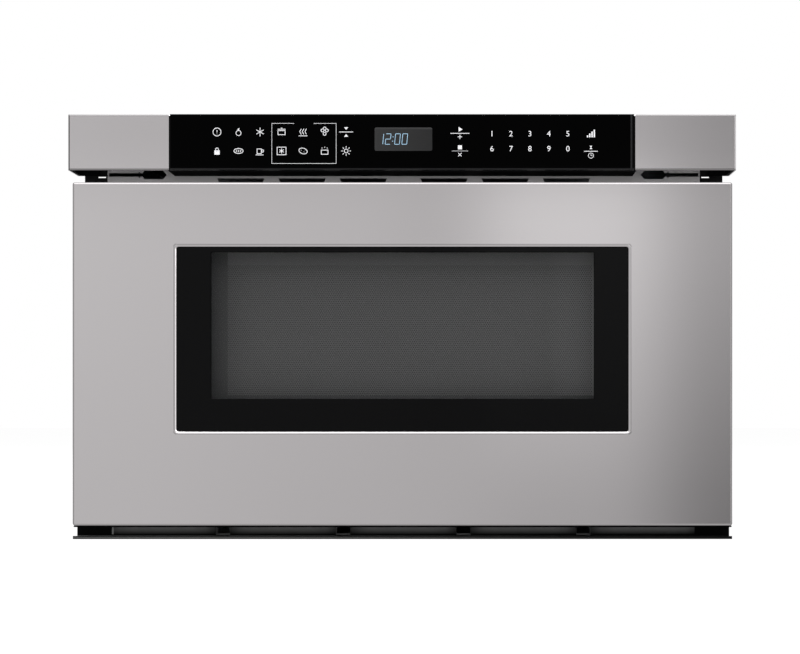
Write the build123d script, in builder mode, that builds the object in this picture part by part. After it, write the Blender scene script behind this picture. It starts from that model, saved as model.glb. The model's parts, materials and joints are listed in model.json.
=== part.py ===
from build123d import *
from math import acos, cos, floor, pi, radians, sin, sqrt, tan
import os

# A built-in microwave drawer: a glass and steel control panel over a steel drawer front, with the oven
# cavity, its motor drive and the microwave parts in a sheet-metal chassis behind.
# X runs to the right, Y to the back and Z up; the front faces -Y.  The origin is at the middle of the
# underside.  All sizes are millimetres.

os.makedirs("parts", exist_ok=True)

# ---- overall sizes ----
panel_width = 606.0
overall_height = 386.0
overall_depth = 590.0
front_y = -overall_depth / 2
rear_y = overall_depth / 2

# ---- heights of the front, from the floor up ----
trim_height = 12.0
trim_gap = 0.5
vent_gap = 9.8
panel_height = 50.7
door_bottom = trim_height + trim_gap
panel_bottom = overall_height - panel_height
door_top = panel_bottom - vent_gap

# ---- depths of the front ----
front_projection = 38.0         # panel face to the front of the mounting flanges
door_setback = 10.0             # door face behind the panel face
seal_gap = 1.6                  # door back to front plate
door_side_margin = 2.0          # panel edge to door edge
flange_y = front_y + front_projection
door_y = front_y + door_setback
door_back_y = flange_y - seal_gap
door_half = panel_width / 2 - door_side_margin

# ---- chassis ----
sheet = 1.2
round_sides = 16                # sides of the hidden round parts that nothing turns on
chassis_side_space = 27.5       # panel edge to chassis side
chassis_top_drop = 15.0         # panel top to chassis top
gland_flange = 2.0              # how far the cord gland stands behind the back plate
lip_height = 14.0
chassis_half = panel_width / 2 - chassis_side_space
inner_half = chassis_half - sheet
chassis_top = overall_height - chassis_top_drop
chassis_rear = rear_y - gland_flange
back_y = chassis_rear - sheet   # inner face of the back plate
wall_y = flange_y + sheet       # back face of the front plate

# ---- oven cavity ----
cavity_side_space = 54.3        # cavity to chassis side, inside
cavity_floor = 92.0
upper_bay = 99.0                # cavity ceiling to chassis top
rear_bay = 122.8                # cavity back to back plate
cavity_wall = 1.0
cavity_half = inner_half - cavity_side_space
cavity_ceiling = chassis_top - upper_bay
bay_y = back_y - rear_bay       # outer back face of the cavity
cavity_rear = bay_y - cavity_wall
cavity_top = cavity_ceiling + cavity_wall
cavity_under = cavity_floor - cavity_wall

# ---- drawer travel and slides ----
travel_reserve = 43.8           # cavity depth that the drawer doesn't travel
slide_overlap = 20.0            # slide length beyond the travel
slide_setback = 7.0             # slide front behind the flange face
slide_thickness = 12.7
slide_height = 45.4
slide_rise = 80.5               # slide centre above the cavity floor
drawer_travel = cavity_rear - wall_y - travel_reserve
slide_length = drawer_travel + slide_overlap
slide_y = flange_y + slide_setback
slide_z = cavity_floor + slide_rise

# ---- rack and pinion drive ----
pressure = radians(20.0)
over_cut = 1.0                  # how far a cutting shape stands past the open side it cuts
rack_module = 3.0
pinion_teeth = 12
rack_width = 6.0
pinion_width = 5.4
rack_back = 9.0                 # solid bar above the rack's roots
shaft_radius = 4.0
shaft_setback = 22.0            # shaft centre behind the flange face
shaft_z = 55.0
gear_module = 2.0
shaft_gear_teeth = 18
motor_gear_teeth = 12
gear_width = 8.0
gear_x = 28.0                   # middle of the shaft gear and motor gear
backlash = 0.15                 # taken off each flank at the pitch line
tip_share = 0.7                 # addendum in modules, short so that small pinions aren't undercut
root_share = 1.0                # dedendum in modules
running_fit = 0.05              # radial clearance of a shaft in its bush
shaft_y = flange_y + shaft_setback
pinion_radius = rack_module * pinion_teeth / 2
pitch_line_z = shaft_z + pinion_radius
arm_thickness = 2.0
arm_outer = inner_half - slide_thickness
arm_inner = arm_outer - arm_thickness
rack_inner = arm_inner - rack_width
rack_root_z = pitch_line_z + root_share * rack_module
rack_body_top = rack_root_z + rack_back

# ---- door ----
skin = 1.0
door_edge_round = 2.0
door_bevel_width = 1.5
door_bevel_depth = 0.3
skin_return = 21.0              # how far the skin wraps back round the frame
window_side = 94.5              # door edge to window glass
window_under = 85.5
window_over = 58.5
glass_thickness = 4.0
glass_recess = 1.0
hem_width = 3.0                 # doubled steel round the window
hem_bevel = 1.8
screen_side = 31.5              # glass edge to clear window, at the sides
screen_under = 30.0
screen_over = 5.0
choke_width = 250.0             # half width of the choke
choke_over = 30.0               # choke beyond the cavity opening, above and below
choke_channel = 24.0
choke_wall = 1.2
choke_cover_thickness = 1.6
comb_pitch = 60.0
comb_slot = 10.0
clearance = 0.2                 # between pieces of one assembly
window_half = door_half - window_side
window_low = door_bottom + window_under
window_high = door_top - window_over
clear_half = window_half - screen_side
clear_low = window_low + screen_under
clear_high = window_high - screen_over
glass_back_y = door_y + glass_recess + glass_thickness
frame_y = door_y + skin
frame_web = 1.2
frame_half = door_half - skin - clearance
frame_low = door_bottom + skin + clearance
frame_high = door_top - skin - clearance
frame_back_y = door_back_y - 2.0
choke_low = cavity_floor - choke_over
choke_high = cavity_ceiling + choke_over
choke_half = min(choke_width, cavity_half + choke_over)

# ---- drawer tub ----
tub_wall = 1.5
tub_side_gap = 10.0
tub_under_gap = 6.0
tub_rear_gap = 6.0
tub_height = 140.0
tub_sill = 18.0
tub_corner = 12.0
plate_thickness = 5.0
plate_gap = 4.0
tub_half = cavity_half - tub_side_gap
tub_low = cavity_floor + tub_under_gap
tub_rear = cavity_rear - tub_rear_gap
tub_high = min(tub_low + tub_height, cavity_ceiling - tub_under_gap)


def front_plane(y):
    """Upright plane at depth y: its x is X, its y is Z, and it faces the front."""
    return Plane.XZ.offset(-y)


def side_plane(x):
    """Upright plane at X = x: its x is Y, its y is Z, and it faces right."""
    return Plane.YZ.offset(x)


def span(left, right, low, high, mode=Mode.ADD):
    """Rectangle between two corners, in the sketch being drawn."""
    with Locations(((left + right) / 2, (low + high) / 2)):
        Rectangle(right - left, high - low, mode=mode)


def round_span(left, right, low, high, radius, mode=Mode.ADD):
    """Rounded rectangle between two corners, in the sketch being drawn."""
    with Locations(((left + right) / 2, (low + high) / 2)):
        RectangleRounded(right - left, high - low, radius, mode=mode)


def disc(radius, mode=Mode.ADD):
    """Round outline of a hidden part, drawn with a few straight sides."""
    RegularPolygon(radius, round_sides, mode=mode)


def oval(length, width, mode=Mode.ADD):
    """Two round ends and the stretch between them, at the current location."""
    with Locations((-(length - width) / 2, 0), ((length - width) / 2, 0)):
        disc(width / 2, mode=mode)
    Rectangle(length - width, width * cos(pi / round_sides), mode=mode)


def write(built, name):
    """Label a finished piece and write it as its own file."""
    built.part.label = name
    export_step(built.part, f"parts/{name}.step")


def write_mirrored(built, name):
    """Write the left-hand twin of a right-hand piece."""
    with BuildPart() as twin:
        mirror(built.part, about=Plane.YZ)
    write(twin, name)


# ==== chassis ====

# Base plate: a pan with upturned side lips and intake slots near the front.
base_slot_length = 60.0
base_slot_width = 6.0
base_slot_pitch = 100.0
base_slot_setback = 150.0
base_slot_columns = 4
base_slot_rows = 3
with BuildPart() as base_plate:
    with BuildSketch(front_plane(wall_y)):
        span(-inner_half, inner_half, 0, lip_height)
        span(-inner_half + sheet, inner_half - sheet, sheet, lip_height + over_cut, mode=Mode.SUBTRACT)
    extrude(amount=wall_y - back_y)
    with BuildSketch(Plane.XY):
        with Locations((0, wall_y + base_slot_setback)):
            with GridLocations(base_slot_pitch, 2 * base_slot_width, base_slot_columns, base_slot_rows):
                Rectangle(base_slot_length, base_slot_width)
    extrude(amount=sheet, mode=Mode.SUBTRACT)
write(base_plate, "base_plate")

# Side panels with a column of louvre slots beside the rear bay.
side_slot_length = 60.0
side_slot_height = 4.0
side_slot_pitch = 14.0
side_slot_count = 9
side_slot_z = 0.6 * chassis_top
with BuildPart() as side_panel_right:
    with BuildSketch(side_plane(inner_half)):
        span(wall_y, back_y, 0, chassis_top)
        with Locations(((bay_y + back_y) / 2, side_slot_z)):
            with GridLocations(0, side_slot_pitch, 1, side_slot_count):
                Rectangle(side_slot_length, side_slot_height, mode=Mode.SUBTRACT)
    extrude(amount=sheet)
write(side_panel_right, "side_panel_right")
write_mirrored(side_panel_right, "side_panel_left")

# Front plate: closed by the door, open to the cavity, the slides and the latch hooks.
hook_side_space = 12.5          # latch hook to chassis side
hook_x = chassis_half - hook_side_space
hook_slot_width = 13.0
hook_low_drop = 31.0            # below and above the cavity's ceiling
hook_high_rise = 9.0
hook_low_z = cavity_ceiling - hook_low_drop
hook_high_z = cavity_ceiling + hook_high_rise
hook_height = 6.0
hook_slot_margin = 6.0
slide_slot_rack_gap = 2.7
slide_slot_side_gap = 1.2
slide_slot_margin = 5.0
slide_slot_inner = rack_inner - slide_slot_rack_gap
slide_slot_outer = inner_half - slide_slot_side_gap
slide_slot_low = pitch_line_z - slide_slot_margin
slide_slot_high = slide_z + slide_height / 2 + slide_slot_margin
louvre_rise = 9.6               # plate above the panel's underside, behind the hollow steel ends
louvre_drop = 15.3
louvre_top = panel_bottom + louvre_rise
louvre_low = panel_bottom - louvre_drop
intake_width = 13.0
intake_pitch = 111.0
intake_count = 4
with BuildPart() as front_plate:
    with BuildSketch(front_plane(wall_y)):
        span(-chassis_half, chassis_half, 0, louvre_low)
        span(-cavity_half, cavity_half, cavity_floor, cavity_ceiling, mode=Mode.SUBTRACT)
        for side in (-1, 1):
            with Locations((side * (slide_slot_inner + slide_slot_outer) / 2,
                            (slide_slot_low + slide_slot_high) / 2)):
                Rectangle(slide_slot_outer - slide_slot_inner, slide_slot_high - slide_slot_low,
                          mode=Mode.SUBTRACT)
        span(hook_x - hook_slot_width / 2, hook_x + hook_slot_width / 2, hook_low_z - hook_slot_margin,
             hook_high_z + hook_slot_margin, mode=Mode.SUBTRACT)
        with Locations((0, trim_height / 2)):
            with GridLocations(intake_pitch, 0, intake_count, 1):
                Rectangle(intake_width, trim_height / 2, mode=Mode.SUBTRACT)
    extrude(amount=sheet)
write(front_plate, "front_plate")

# Exhaust louvre: the steel strip between panel and door, with six vents and a tool cut-out at each end.
louvre_sheet = 0.8
vent_width = 44.0
vent_pitch = 57.0
vent_centre_space = 31.0
vent_top_drop = 2.0
vent_depth = 12.0
vent_slope = 0.44               # sideways per unit of height
tool_rise = 1.2                 # cut-out's middle above the panel's underside
tool_slot_half = 1.7
tool_slot_outer = 1.3           # distances in from the chassis side
tool_slot_inner = 33.5
tool_diamond = 29.5
tool_diamond_half = 2.3
tool_diamond_rise = 3.2
tool_head_outer = 34.0
tool_head_inner = 51.5
tool_head_tip = 55.2
tool_head_half = 4.0
tool_head_taper = 2.5
vent_top = panel_bottom - vent_top_drop
tool_z = panel_bottom + tool_rise
with BuildPart() as exhaust_louvre:
    with BuildSketch(front_plane(flange_y)):
        span(-chassis_half, chassis_half, louvre_low, louvre_top)
        vent_low = vent_top - vent_depth
        vent_pull = vent_depth * vent_slope
        for side in (-1, 1):
            for step in range(3):
                inner = vent_centre_space / 2 + step * vent_pitch
                Polygon((side * inner, vent_top), (side * (inner + vent_width), vent_top),
                        (side * (inner + vent_width - vent_pull), vent_low),
                        (side * (inner + vent_pull), vent_low), align=None, mode=Mode.SUBTRACT)
            slot_outer = side * (chassis_half - tool_slot_outer)
            slot_inner = side * (chassis_half - tool_slot_inner)
            with Locations(((slot_outer + slot_inner) / 2, tool_z)):
                Rectangle(tool_slot_inner - tool_slot_outer, 2 * tool_slot_half, mode=Mode.SUBTRACT)
            diamond_x = side * (chassis_half - tool_diamond)
            Polygon((diamond_x - tool_diamond_half, tool_z), (diamond_x, tool_z - tool_diamond_rise),
                    (diamond_x + tool_diamond_half, tool_z), (diamond_x, tool_z + tool_diamond_rise),
                    align=None, mode=Mode.SUBTRACT)
            head_outer = side * (chassis_half - tool_head_outer)
            head_inner = side * (chassis_half - tool_head_inner)
            head_tip = side * (chassis_half - tool_head_tip)
            Polygon((head_outer + side * tool_head_taper, tool_z), (head_outer, tool_z + tool_head_half),
                    (head_inner, tool_z + tool_head_half), (head_tip, tool_z),
                    (head_inner, tool_z - tool_head_half), (head_outer, tool_z - tool_head_half),
                    align=None, mode=Mode.SUBTRACT)
    extrude(amount=-louvre_sheet)
write(exhaust_louvre, "exhaust_louvre")

# Top cover: downturned side lips, a deep front flange and three pressed stiffening beads.
bead_width = 16.0
bead_height = 1.5
bead_pitch = 150.0
bead_count = 3
bead_end = 50.0
with BuildPart() as top_cover:
    with BuildSketch(front_plane(wall_y)):
        span(-inner_half, inner_half, chassis_top - lip_height, chassis_top)
        span(-inner_half + sheet, inner_half - sheet, chassis_top - lip_height - over_cut,
             chassis_top - sheet, mode=Mode.SUBTRACT)
    extrude(amount=wall_y - back_y)
    with BuildSketch(front_plane(wall_y)):
        span(-chassis_half, chassis_half, louvre_top + clearance, chassis_top)
    extrude(amount=sheet)
    with BuildSketch(Plane.XY.offset(chassis_top)):
        with Locations((0, (wall_y + back_y) / 2)):
            with GridLocations(bead_pitch, 0, bead_count, 1):
                Rectangle(bead_width, back_y - wall_y - 2 * bead_end)
    extrude(amount=bead_height, taper=45)
write(top_cover, "top_cover")

# Back plate: rows of slots in a round field behind the fan, and the cord gland's hole.
fan_x = 150.0
fan_z = 185.0
fan_bore = 58.0
intake_row_height = 5.0
intake_row_pitch = 14.0
intake_rows = 7
intake_field_margin = 4.0       # slots inside the throat's edge
intake_middle_half = 2.0        # half the upright bar between the two columns
gland_side_space = 55.5         # gland to chassis side
gland_x = gland_side_space - chassis_half
gland_z = 35.0
gland_radius = 8.0
with BuildPart() as back_plate:
    with BuildSketch(front_plane(chassis_rear)):
        span(-chassis_half, chassis_half, 0, chassis_top)
        for row in range(intake_rows):
            rise = (row - (intake_rows - 1) / 2) * intake_row_pitch
            half_chord = sqrt((fan_bore - intake_field_margin) ** 2 - rise ** 2)
            row_low = fan_z + rise - intake_row_height / 2
            row_high = fan_z + rise + intake_row_height / 2
            span(fan_x - half_chord, fan_x - intake_middle_half, row_low, row_high, mode=Mode.SUBTRACT)
            span(fan_x + intake_middle_half, fan_x + half_chord, row_low, row_high, mode=Mode.SUBTRACT)
        with Locations((gland_x, gland_z)):
            disc(gland_radius, mode=Mode.SUBTRACT)
    extrude(amount=sheet)
write(back_plate, "back_plate")

# Cord gland: a grommet through the back plate, with a flange on each side.
gland_wall = 3.5
gland_flange_reach = 4.0
gland_inner_flange = 1.5
gland_bore = gland_radius - gland_wall
with BuildPart() as cord_gland:
    with BuildSketch(front_plane(rear_y)):
        with Locations((gland_x, gland_z)):
            disc(gland_radius + gland_flange_reach)
    extrude(amount=gland_flange)
    chamfer(cord_gland.edges().group_by(Axis.Y)[-1], gland_flange / 2)
    with BuildSketch(front_plane(chassis_rear)):
        with Locations((gland_x, gland_z)):
            disc(gland_radius)
    extrude(amount=sheet)
    with BuildSketch(front_plane(back_y)):
        with Locations((gland_x, gland_z)):
            disc(gland_radius + gland_flange_reach / 2)
    extrude(amount=gland_inner_flange)
    with BuildSketch(front_plane(rear_y)):
        with Locations((gland_x, gland_z)):
            Circle(gland_bore)
    extrude(amount=gland_flange + sheet + gland_inner_flange, mode=Mode.SUBTRACT)
write(cord_gland, "cord_gland")

# Mounting flanges: black angles up both sides, screwed to the cabinet's face through four holes.
flange_reach = 21.1
flange_leg = 26.0
flange_low = 16.0
flange_top_drop = 15.0
mount_hole_radius = 2.75
mount_hole_inset = 11.5
mount_hole_low = 50.0
mount_hole_top_space = 136.0    # upper hole below the unit's top, plus the lower hole's height
mount_hole_spacing = overall_height - mount_hole_top_space
flange_slot_width = 7.2
flange_slot_height = 1.2
flange_slot_inset = 1.5         # slot to chassis side
flange_slot_drop = 1.1          # slot's middle below the panel
flange_slot_z = panel_bottom - flange_slot_drop
with BuildPart() as mounting_flanges:
    for side in (-1, 1):
        with BuildSketch(front_plane(wall_y)):
            with Locations((side * (chassis_half + flange_reach / 2),
                            (flange_low + chassis_top - flange_top_drop) / 2)):
                Rectangle(flange_reach, chassis_top - flange_top_drop - flange_low)
            with Locations((side * (chassis_half + mount_hole_inset), mount_hole_low),
                           (side * (chassis_half + mount_hole_inset), mount_hole_low + mount_hole_spacing)):
                Circle(mount_hole_radius, mode=Mode.SUBTRACT)
            slot_x = chassis_half + flange_slot_inset + flange_slot_width / 2
            with Locations((side * slot_x, flange_slot_z)):
                Rectangle(flange_slot_width, flange_slot_height, mode=Mode.SUBTRACT)
        extrude(amount=sheet)
        with BuildSketch(front_plane(wall_y)):
            with Locations((side * (chassis_half + sheet / 2),
                            (flange_low + chassis_top - flange_top_drop) / 2)):
                Rectangle(sheet, chassis_top - flange_top_drop - flange_low)
        extrude(amount=-flange_leg)
write(mounting_flanges, "mounting_flanges")

# Intake trim under the door: a C channel whose recessed web has four air gaps.
trim_lip = 1.4
trim_front = 1.0                # bottom lip behind the door face
trim_top_setback = 3.0
trim_web_depth = 16.0           # web behind the bottom lip's front edge
trim_upturn = 1.2
trim_y = door_y + trim_front
with BuildPart() as intake_trim:
    with BuildSketch(side_plane(-door_half)):
        span(trim_y, flange_y, 0, trim_lip)
        span(trim_y, trim_y + trim_lip, 0, trim_lip + trim_upturn)
        span(trim_y + trim_top_setback, flange_y, trim_height - trim_lip, trim_height)
        span(trim_y + trim_web_depth, trim_y + trim_web_depth + trim_lip, 0, trim_height)
    extrude(amount=2 * door_half)
    with BuildSketch(front_plane(trim_y + trim_web_depth)):
        with Locations((0, trim_height / 2)):
            with GridLocations(intake_pitch, 0, intake_count, 1):
                Rectangle(intake_width, trim_height - 2 * trim_lip)
    extrude(amount=-trim_lip, mode=Mode.SUBTRACT)
write(intake_trim, "intake_trim")

# ==== cavity and microwave parts ====

# Oven cavity: a welded box open to the front, with the stirrer's hole and a lamp hole.
stirrer_hole = 55.0             # half width of the opening in the ceiling
lamp_y = 60.0
lamp_z = cavity_ceiling - 37.0
lamp_hole_width = 30.0
lamp_hole_height = 24.0
stirrer_y = (wall_y + bay_y) / 2
with BuildPart() as oven_cavity:
    with BuildSketch(front_plane(bay_y)):
        span(-cavity_half - cavity_wall, cavity_half + cavity_wall, cavity_under, cavity_top)
    extrude(amount=bay_y - wall_y)
    with BuildSketch(front_plane(cavity_rear)):
        span(-cavity_half, cavity_half, cavity_floor, cavity_ceiling)
    extrude(amount=cavity_rear - wall_y, mode=Mode.SUBTRACT)
    with BuildSketch(Plane.XY.offset(cavity_ceiling)):
        with Locations((0, stirrer_y)):
            Rectangle(2 * stirrer_hole, 2 * stirrer_hole)
    extrude(amount=cavity_wall, mode=Mode.SUBTRACT)
    with BuildSketch(side_plane(cavity_half)):
        with Locations((lamp_y, lamp_z)):
            Rectangle(lamp_hole_width, lamp_hole_height)
    extrude(amount=cavity_wall, mode=Mode.SUBTRACT)
write(oven_cavity, "oven_cavity")

# Stirrer cover: a shallow dished sheet under the ceiling hole.
cover_half = 78.0
cover_corner = 14.0
cover_thickness = 1.5
cover_dish = 2.5
cover_rim = 12.0
with BuildPart() as stirrer_cover:
    with BuildSketch(Plane.XY.offset(cavity_ceiling - cover_thickness)):
        round_span(-cover_half, cover_half, stirrer_y - cover_half, stirrer_y + cover_half, cover_corner)
    extrude(amount=cover_thickness)
    with BuildSketch(Plane.XY.offset(cavity_ceiling - cover_thickness - cover_dish)):
        span(-cover_half + cover_rim, cover_half - cover_rim, stirrer_y - cover_half + cover_rim,
             stirrer_y + cover_half - cover_rim)
    extrude(amount=cover_dish)
    with BuildSketch(Plane.XY.offset(cavity_ceiling - cover_dish)):
        span(-cover_half + cover_rim + cover_thickness, cover_half - cover_rim - cover_thickness,
             stirrer_y - cover_half + cover_rim + cover_thickness,
             stirrer_y + cover_half - cover_rim - cover_thickness)
    extrude(amount=cover_dish, mode=Mode.SUBTRACT)
write(stirrer_cover, "stirrer_cover")

# Waveguide: a square stirrer chamber on the ceiling and a flat duct back to the magnetron.
chamber_half = 75.0
guide_half = 45.0
guide_height = 30.0
guide_wall = 1.0
guide_end = 27.0                # duct's end before the back plate
magnetron_setback = 62.0        # antenna before the back plate
antenna_hole = 11.0
stirrer_shaft_radius = 3.0
stirrer_shaft_hole = 5.0
magnetron_y = back_y - magnetron_setback
guide_top = cavity_top + guide_height
with BuildPart() as waveguide:
    with BuildSketch(Plane.XY.offset(cavity_top)):
        span(-chamber_half, chamber_half, stirrer_y - chamber_half, stirrer_y + chamber_half)
        span(-guide_half, guide_half, stirrer_y, back_y - guide_end)
    extrude(amount=guide_height)
    with BuildSketch(Plane.XY.offset(cavity_top)):
        span(-chamber_half + guide_wall, chamber_half - guide_wall, stirrer_y - chamber_half + guide_wall,
             stirrer_y + chamber_half - guide_wall)
    extrude(amount=guide_height - guide_wall, mode=Mode.SUBTRACT)
    with BuildSketch(Plane.XY.offset(cavity_top + guide_wall)):
        span(-guide_half + guide_wall, guide_half - guide_wall, stirrer_y,
             back_y - guide_end - guide_wall)
    extrude(amount=guide_height - 2 * guide_wall, mode=Mode.SUBTRACT)
    with BuildSketch(Plane.XY.offset(cavity_top)):
        with Locations((0, magnetron_y)):
            disc(antenna_hole)
    extrude(amount=guide_wall, mode=Mode.SUBTRACT)
    with BuildSketch(Plane.XY.offset(guide_top - guide_wall)):
        with Locations((0, stirrer_y)):
            disc(stirrer_shaft_hole)
    extrude(amount=guide_wall, mode=Mode.SUBTRACT)
write(waveguide, "waveguide")

# Stirrer motor: a flat round can with two ears on the chamber's roof.
motor_can_radius = 24.0
motor_can_height = 17.0
ear_reach = 32.0
ear_width = 12.0
ear_thickness = 1.5
with BuildPart() as stirrer_motor:
    with BuildSketch(Plane.XY.offset(guide_top)):
        with Locations((0, stirrer_y)):
            disc(motor_can_radius)
    extrude(amount=motor_can_height)
    with BuildSketch(Plane.XY.offset(guide_top)):
        with Locations((0, stirrer_y)):
            Rectangle(2 * ear_reach + ear_width, ear_width)
    extrude(amount=ear_thickness)
    with BuildSketch(Plane.XY.offset(guide_top)):
        with Locations((0, stirrer_y)):
            Circle(stirrer_shaft_radius + running_fit)
    extrude(amount=motor_can_height / 2, mode=Mode.SUBTRACT)
write(stirrer_motor, "stirrer_motor")

# Stirrer: three tilted metal vanes on a hub and shaft.
vane_length = 40.0
vane_width = 24.0
vane_sheet = 1.2
vane_tilt = 20.0
hub_radius = 9.0
hub_height = 8.0
vane_root = 2.0                 # vane or blade inside its hub
shaft_end_gap = 2.0
vane_count = 3
stirrer_z = cavity_top + 0.45 * guide_height
with BuildPart() as stirrer_blade:
    with BuildSketch(Plane.XY.offset(stirrer_z - hub_height / 2)):
        with Locations((0, stirrer_y)):
            disc(hub_radius)
    extrude(amount=hub_height)
    with BuildSketch(Plane.XY.offset(stirrer_z)):
        with Locations((0, stirrer_y)):
            Circle(stirrer_shaft_radius)
    extrude(amount=guide_top + motor_can_height / 2 - shaft_end_gap - stirrer_z)
    for turn in range(vane_count):
        heading = 2 * pi * turn / vane_count + pi / 2
        outward = Vector(cos(heading), sin(heading), 0)
        root_plane = Plane(origin=(0, stirrer_y, stirrer_z), x_dir=(-sin(heading), cos(heading), 0),
                           z_dir=outward)
        with BuildSketch(root_plane.offset(hub_radius - vane_root)):
            Rectangle(vane_width, vane_sheet, rotation=vane_tilt)
        extrude(amount=vane_length)
write(stirrer_blade, "stirrer_blade")

# Magnetron case: a steel yoke round the fins, a mounting plate above and a filter box below.
yoke_half = 42.0
yoke_drop = 59.5
yoke_depth = 60.0
yoke_sheet = 1.5
plate_half = 47.0
plate_depth = 80.0
filter_half = 33.0
filter_drop = 35.0
yoke_low = cavity_top - yoke_drop
with BuildPart() as magnetron_case:
    with BuildSketch(front_plane(magnetron_y + yoke_depth / 2)):
        span(-yoke_half, yoke_half, yoke_low, cavity_top)
        span(-yoke_half + yoke_sheet, yoke_half - yoke_sheet, yoke_low + yoke_sheet,
             cavity_top - yoke_sheet, mode=Mode.SUBTRACT)
    extrude(amount=yoke_depth)
    with BuildSketch(Plane.XY.offset(cavity_top - yoke_sheet)):
        span(-plate_half, plate_half, magnetron_y - plate_depth / 2, magnetron_y + plate_depth / 2)
    extrude(amount=yoke_sheet)
    with BuildSketch(Plane.XY.offset(yoke_low - filter_drop)):
        span(-filter_half, filter_half, magnetron_y - yoke_depth / 2, magnetron_y + yoke_depth / 2)
    extrude(amount=filter_drop)
    with BuildSketch(Plane.XY.offset(cavity_top - yoke_sheet)):
        with Locations((0, magnetron_y)):
            disc(antenna_hole)
    extrude(amount=yoke_sheet, mode=Mode.SUBTRACT)
write(magnetron_case, "magnetron_case")

# Magnetron anode: cylinder between two magnets, cooling fins, and the antenna up into the duct.
anode_radius = 15.0
magnet_radius = 24.0
magnet_height = 12.0
antenna_radius = 8.0
antenna_rise = 16.0
cap_radius = 6.0
cap_rise = 22.0
fin_count = 3
fin_sheet = 0.8
fin_half_width = 40.0
fin_half_depth = 28.0
anode_low = yoke_low + yoke_sheet
anode_high = cavity_top - yoke_sheet
anode_steps = ((magnet_radius, anode_low, anode_low + magnet_height),
               (anode_radius, anode_low + magnet_height, anode_high - magnet_height),
               (magnet_radius, anode_high - magnet_height, anode_high),
               (antenna_radius, anode_high, anode_high + antenna_rise),
               (cap_radius, anode_high + antenna_rise, anode_high + cap_rise))
with BuildPart() as magnetron_anode:
    for radius, low, high in anode_steps:
        with BuildSketch(Plane.XY.offset(low)):
            with Locations((0, magnetron_y)):
                disc(radius)
        extrude(amount=high - low)
    fin_room = anode_high - anode_low - 2 * magnet_height
    for fin in range(fin_count):
        fin_z = anode_low + magnet_height + fin_room * (fin + 0.5) / fin_count
        with BuildSketch(Plane.XY.offset(fin_z)):
            span(-fin_half_width, fin_half_width, magnetron_y - fin_half_depth, magnetron_y + fin_half_depth)
        extrude(amount=fin_sheet)
write(magnetron_anode, "magnetron_anode")

# High-voltage transformer: a welded core with two windows on feet, and two coils on its middle leg.
core_x = -150.0
core_half = 52.5
core_height = 86.0
core_depth = 56.0
core_leg_half = 17.5
core_window = 17.5
core_window_height = 52.0
foot_half = 62.0
foot_thickness = 2.0
coil_wrap = 16.5
coil_corner = 8.0
coil_heights = (27.0, 22.0)
coil_space = 1.0
core_y = (bay_y + back_y) / 2
core_low = sheet + foot_thickness
window_floor = core_low + (core_height - core_window_height) / 2
with BuildPart() as transformer_core:
    with BuildSketch(front_plane(core_y + core_depth / 2)):
        span(core_x - core_half, core_x + core_half, core_low, core_low + core_height)
        for side in (-1, 1):
            with Locations((core_x + side * (core_leg_half + core_window / 2),
                            core_low + core_height / 2)):
                Rectangle(core_window, core_window_height, mode=Mode.SUBTRACT)
    extrude(amount=core_depth)
    with BuildSketch(Plane.XY.offset(sheet)):
        span(core_x - foot_half, core_x + foot_half, core_y - core_depth / 2, core_y + core_depth / 2)
    extrude(amount=foot_thickness)
write(transformer_core, "transformer_core")

with BuildPart() as transformer_windings:
    coil_z = window_floor + coil_space
    for coil_height in coil_heights:
        with BuildSketch(Plane.XY.offset(coil_z)):
            span(core_x - core_leg_half - coil_wrap, core_x + core_leg_half + coil_wrap,
                 core_y - core_depth / 2 - coil_wrap, core_y + core_depth / 2 + coil_wrap)
            chamfer(vertices(), coil_corner)
            span(core_x - core_leg_half - clearance, core_x + core_leg_half + clearance,
                 core_y - core_depth / 2 - clearance, core_y + core_depth / 2 + clearance,
                 mode=Mode.SUBTRACT)
        extrude(amount=coil_height)
        coil_z = coil_z + coil_height + coil_space
write(transformer_windings, "transformer_windings")

# High-voltage capacitor: an oval can with two tab terminals, held by a strap with a foot.
can_x = -45.0
can_length = 53.0
can_width = 33.0
can_height = 92.0
tab_height = 9.0
tab_width = 6.0
tab_sheet = 0.8
strap_width = 14.0
strap_sheet = 1.0
strap_z = 40.0
strap_foot = 16.0
can_y = (bay_y + back_y) / 2
with BuildPart() as hv_capacitor:
    with BuildSketch(Plane.XY.offset(sheet)):
        with Locations((can_x, can_y)):
            oval(can_length, can_width)
    extrude(amount=can_height)
    with BuildSketch(Plane.XY.offset(sheet + can_height)):
        with Locations((can_x, can_y)):
            with GridLocations(can_length / 2, 0, 2, 1):
                Rectangle(tab_width, tab_sheet)
    extrude(amount=tab_height)
write(hv_capacitor, "hv_capacitor")

with BuildPart() as capacitor_clamp:
    with BuildSketch(front_plane(can_y + strap_foot / 2)):
        post_x = can_x + can_length / 2
        span(post_x, post_x + strap_sheet, sheet, strap_z + strap_width)
        span(post_x, post_x + strap_foot, sheet, sheet + strap_sheet)
    extrude(amount=strap_foot)
    with BuildSketch(Plane.XY.offset(strap_z)):
        with Locations((can_x, can_y)):
            oval(can_length + 2 * strap_sheet, can_width + 2 * strap_sheet)
    extrude(amount=strap_width)
    with BuildSketch(Plane.XY.offset(sheet)):
        with Locations((can_x, can_y)):
            oval(can_length + clearance, can_width + clearance)
    extrude(amount=can_height, mode=Mode.SUBTRACT)
write(capacitor_clamp, "capacitor_clamp")

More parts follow.
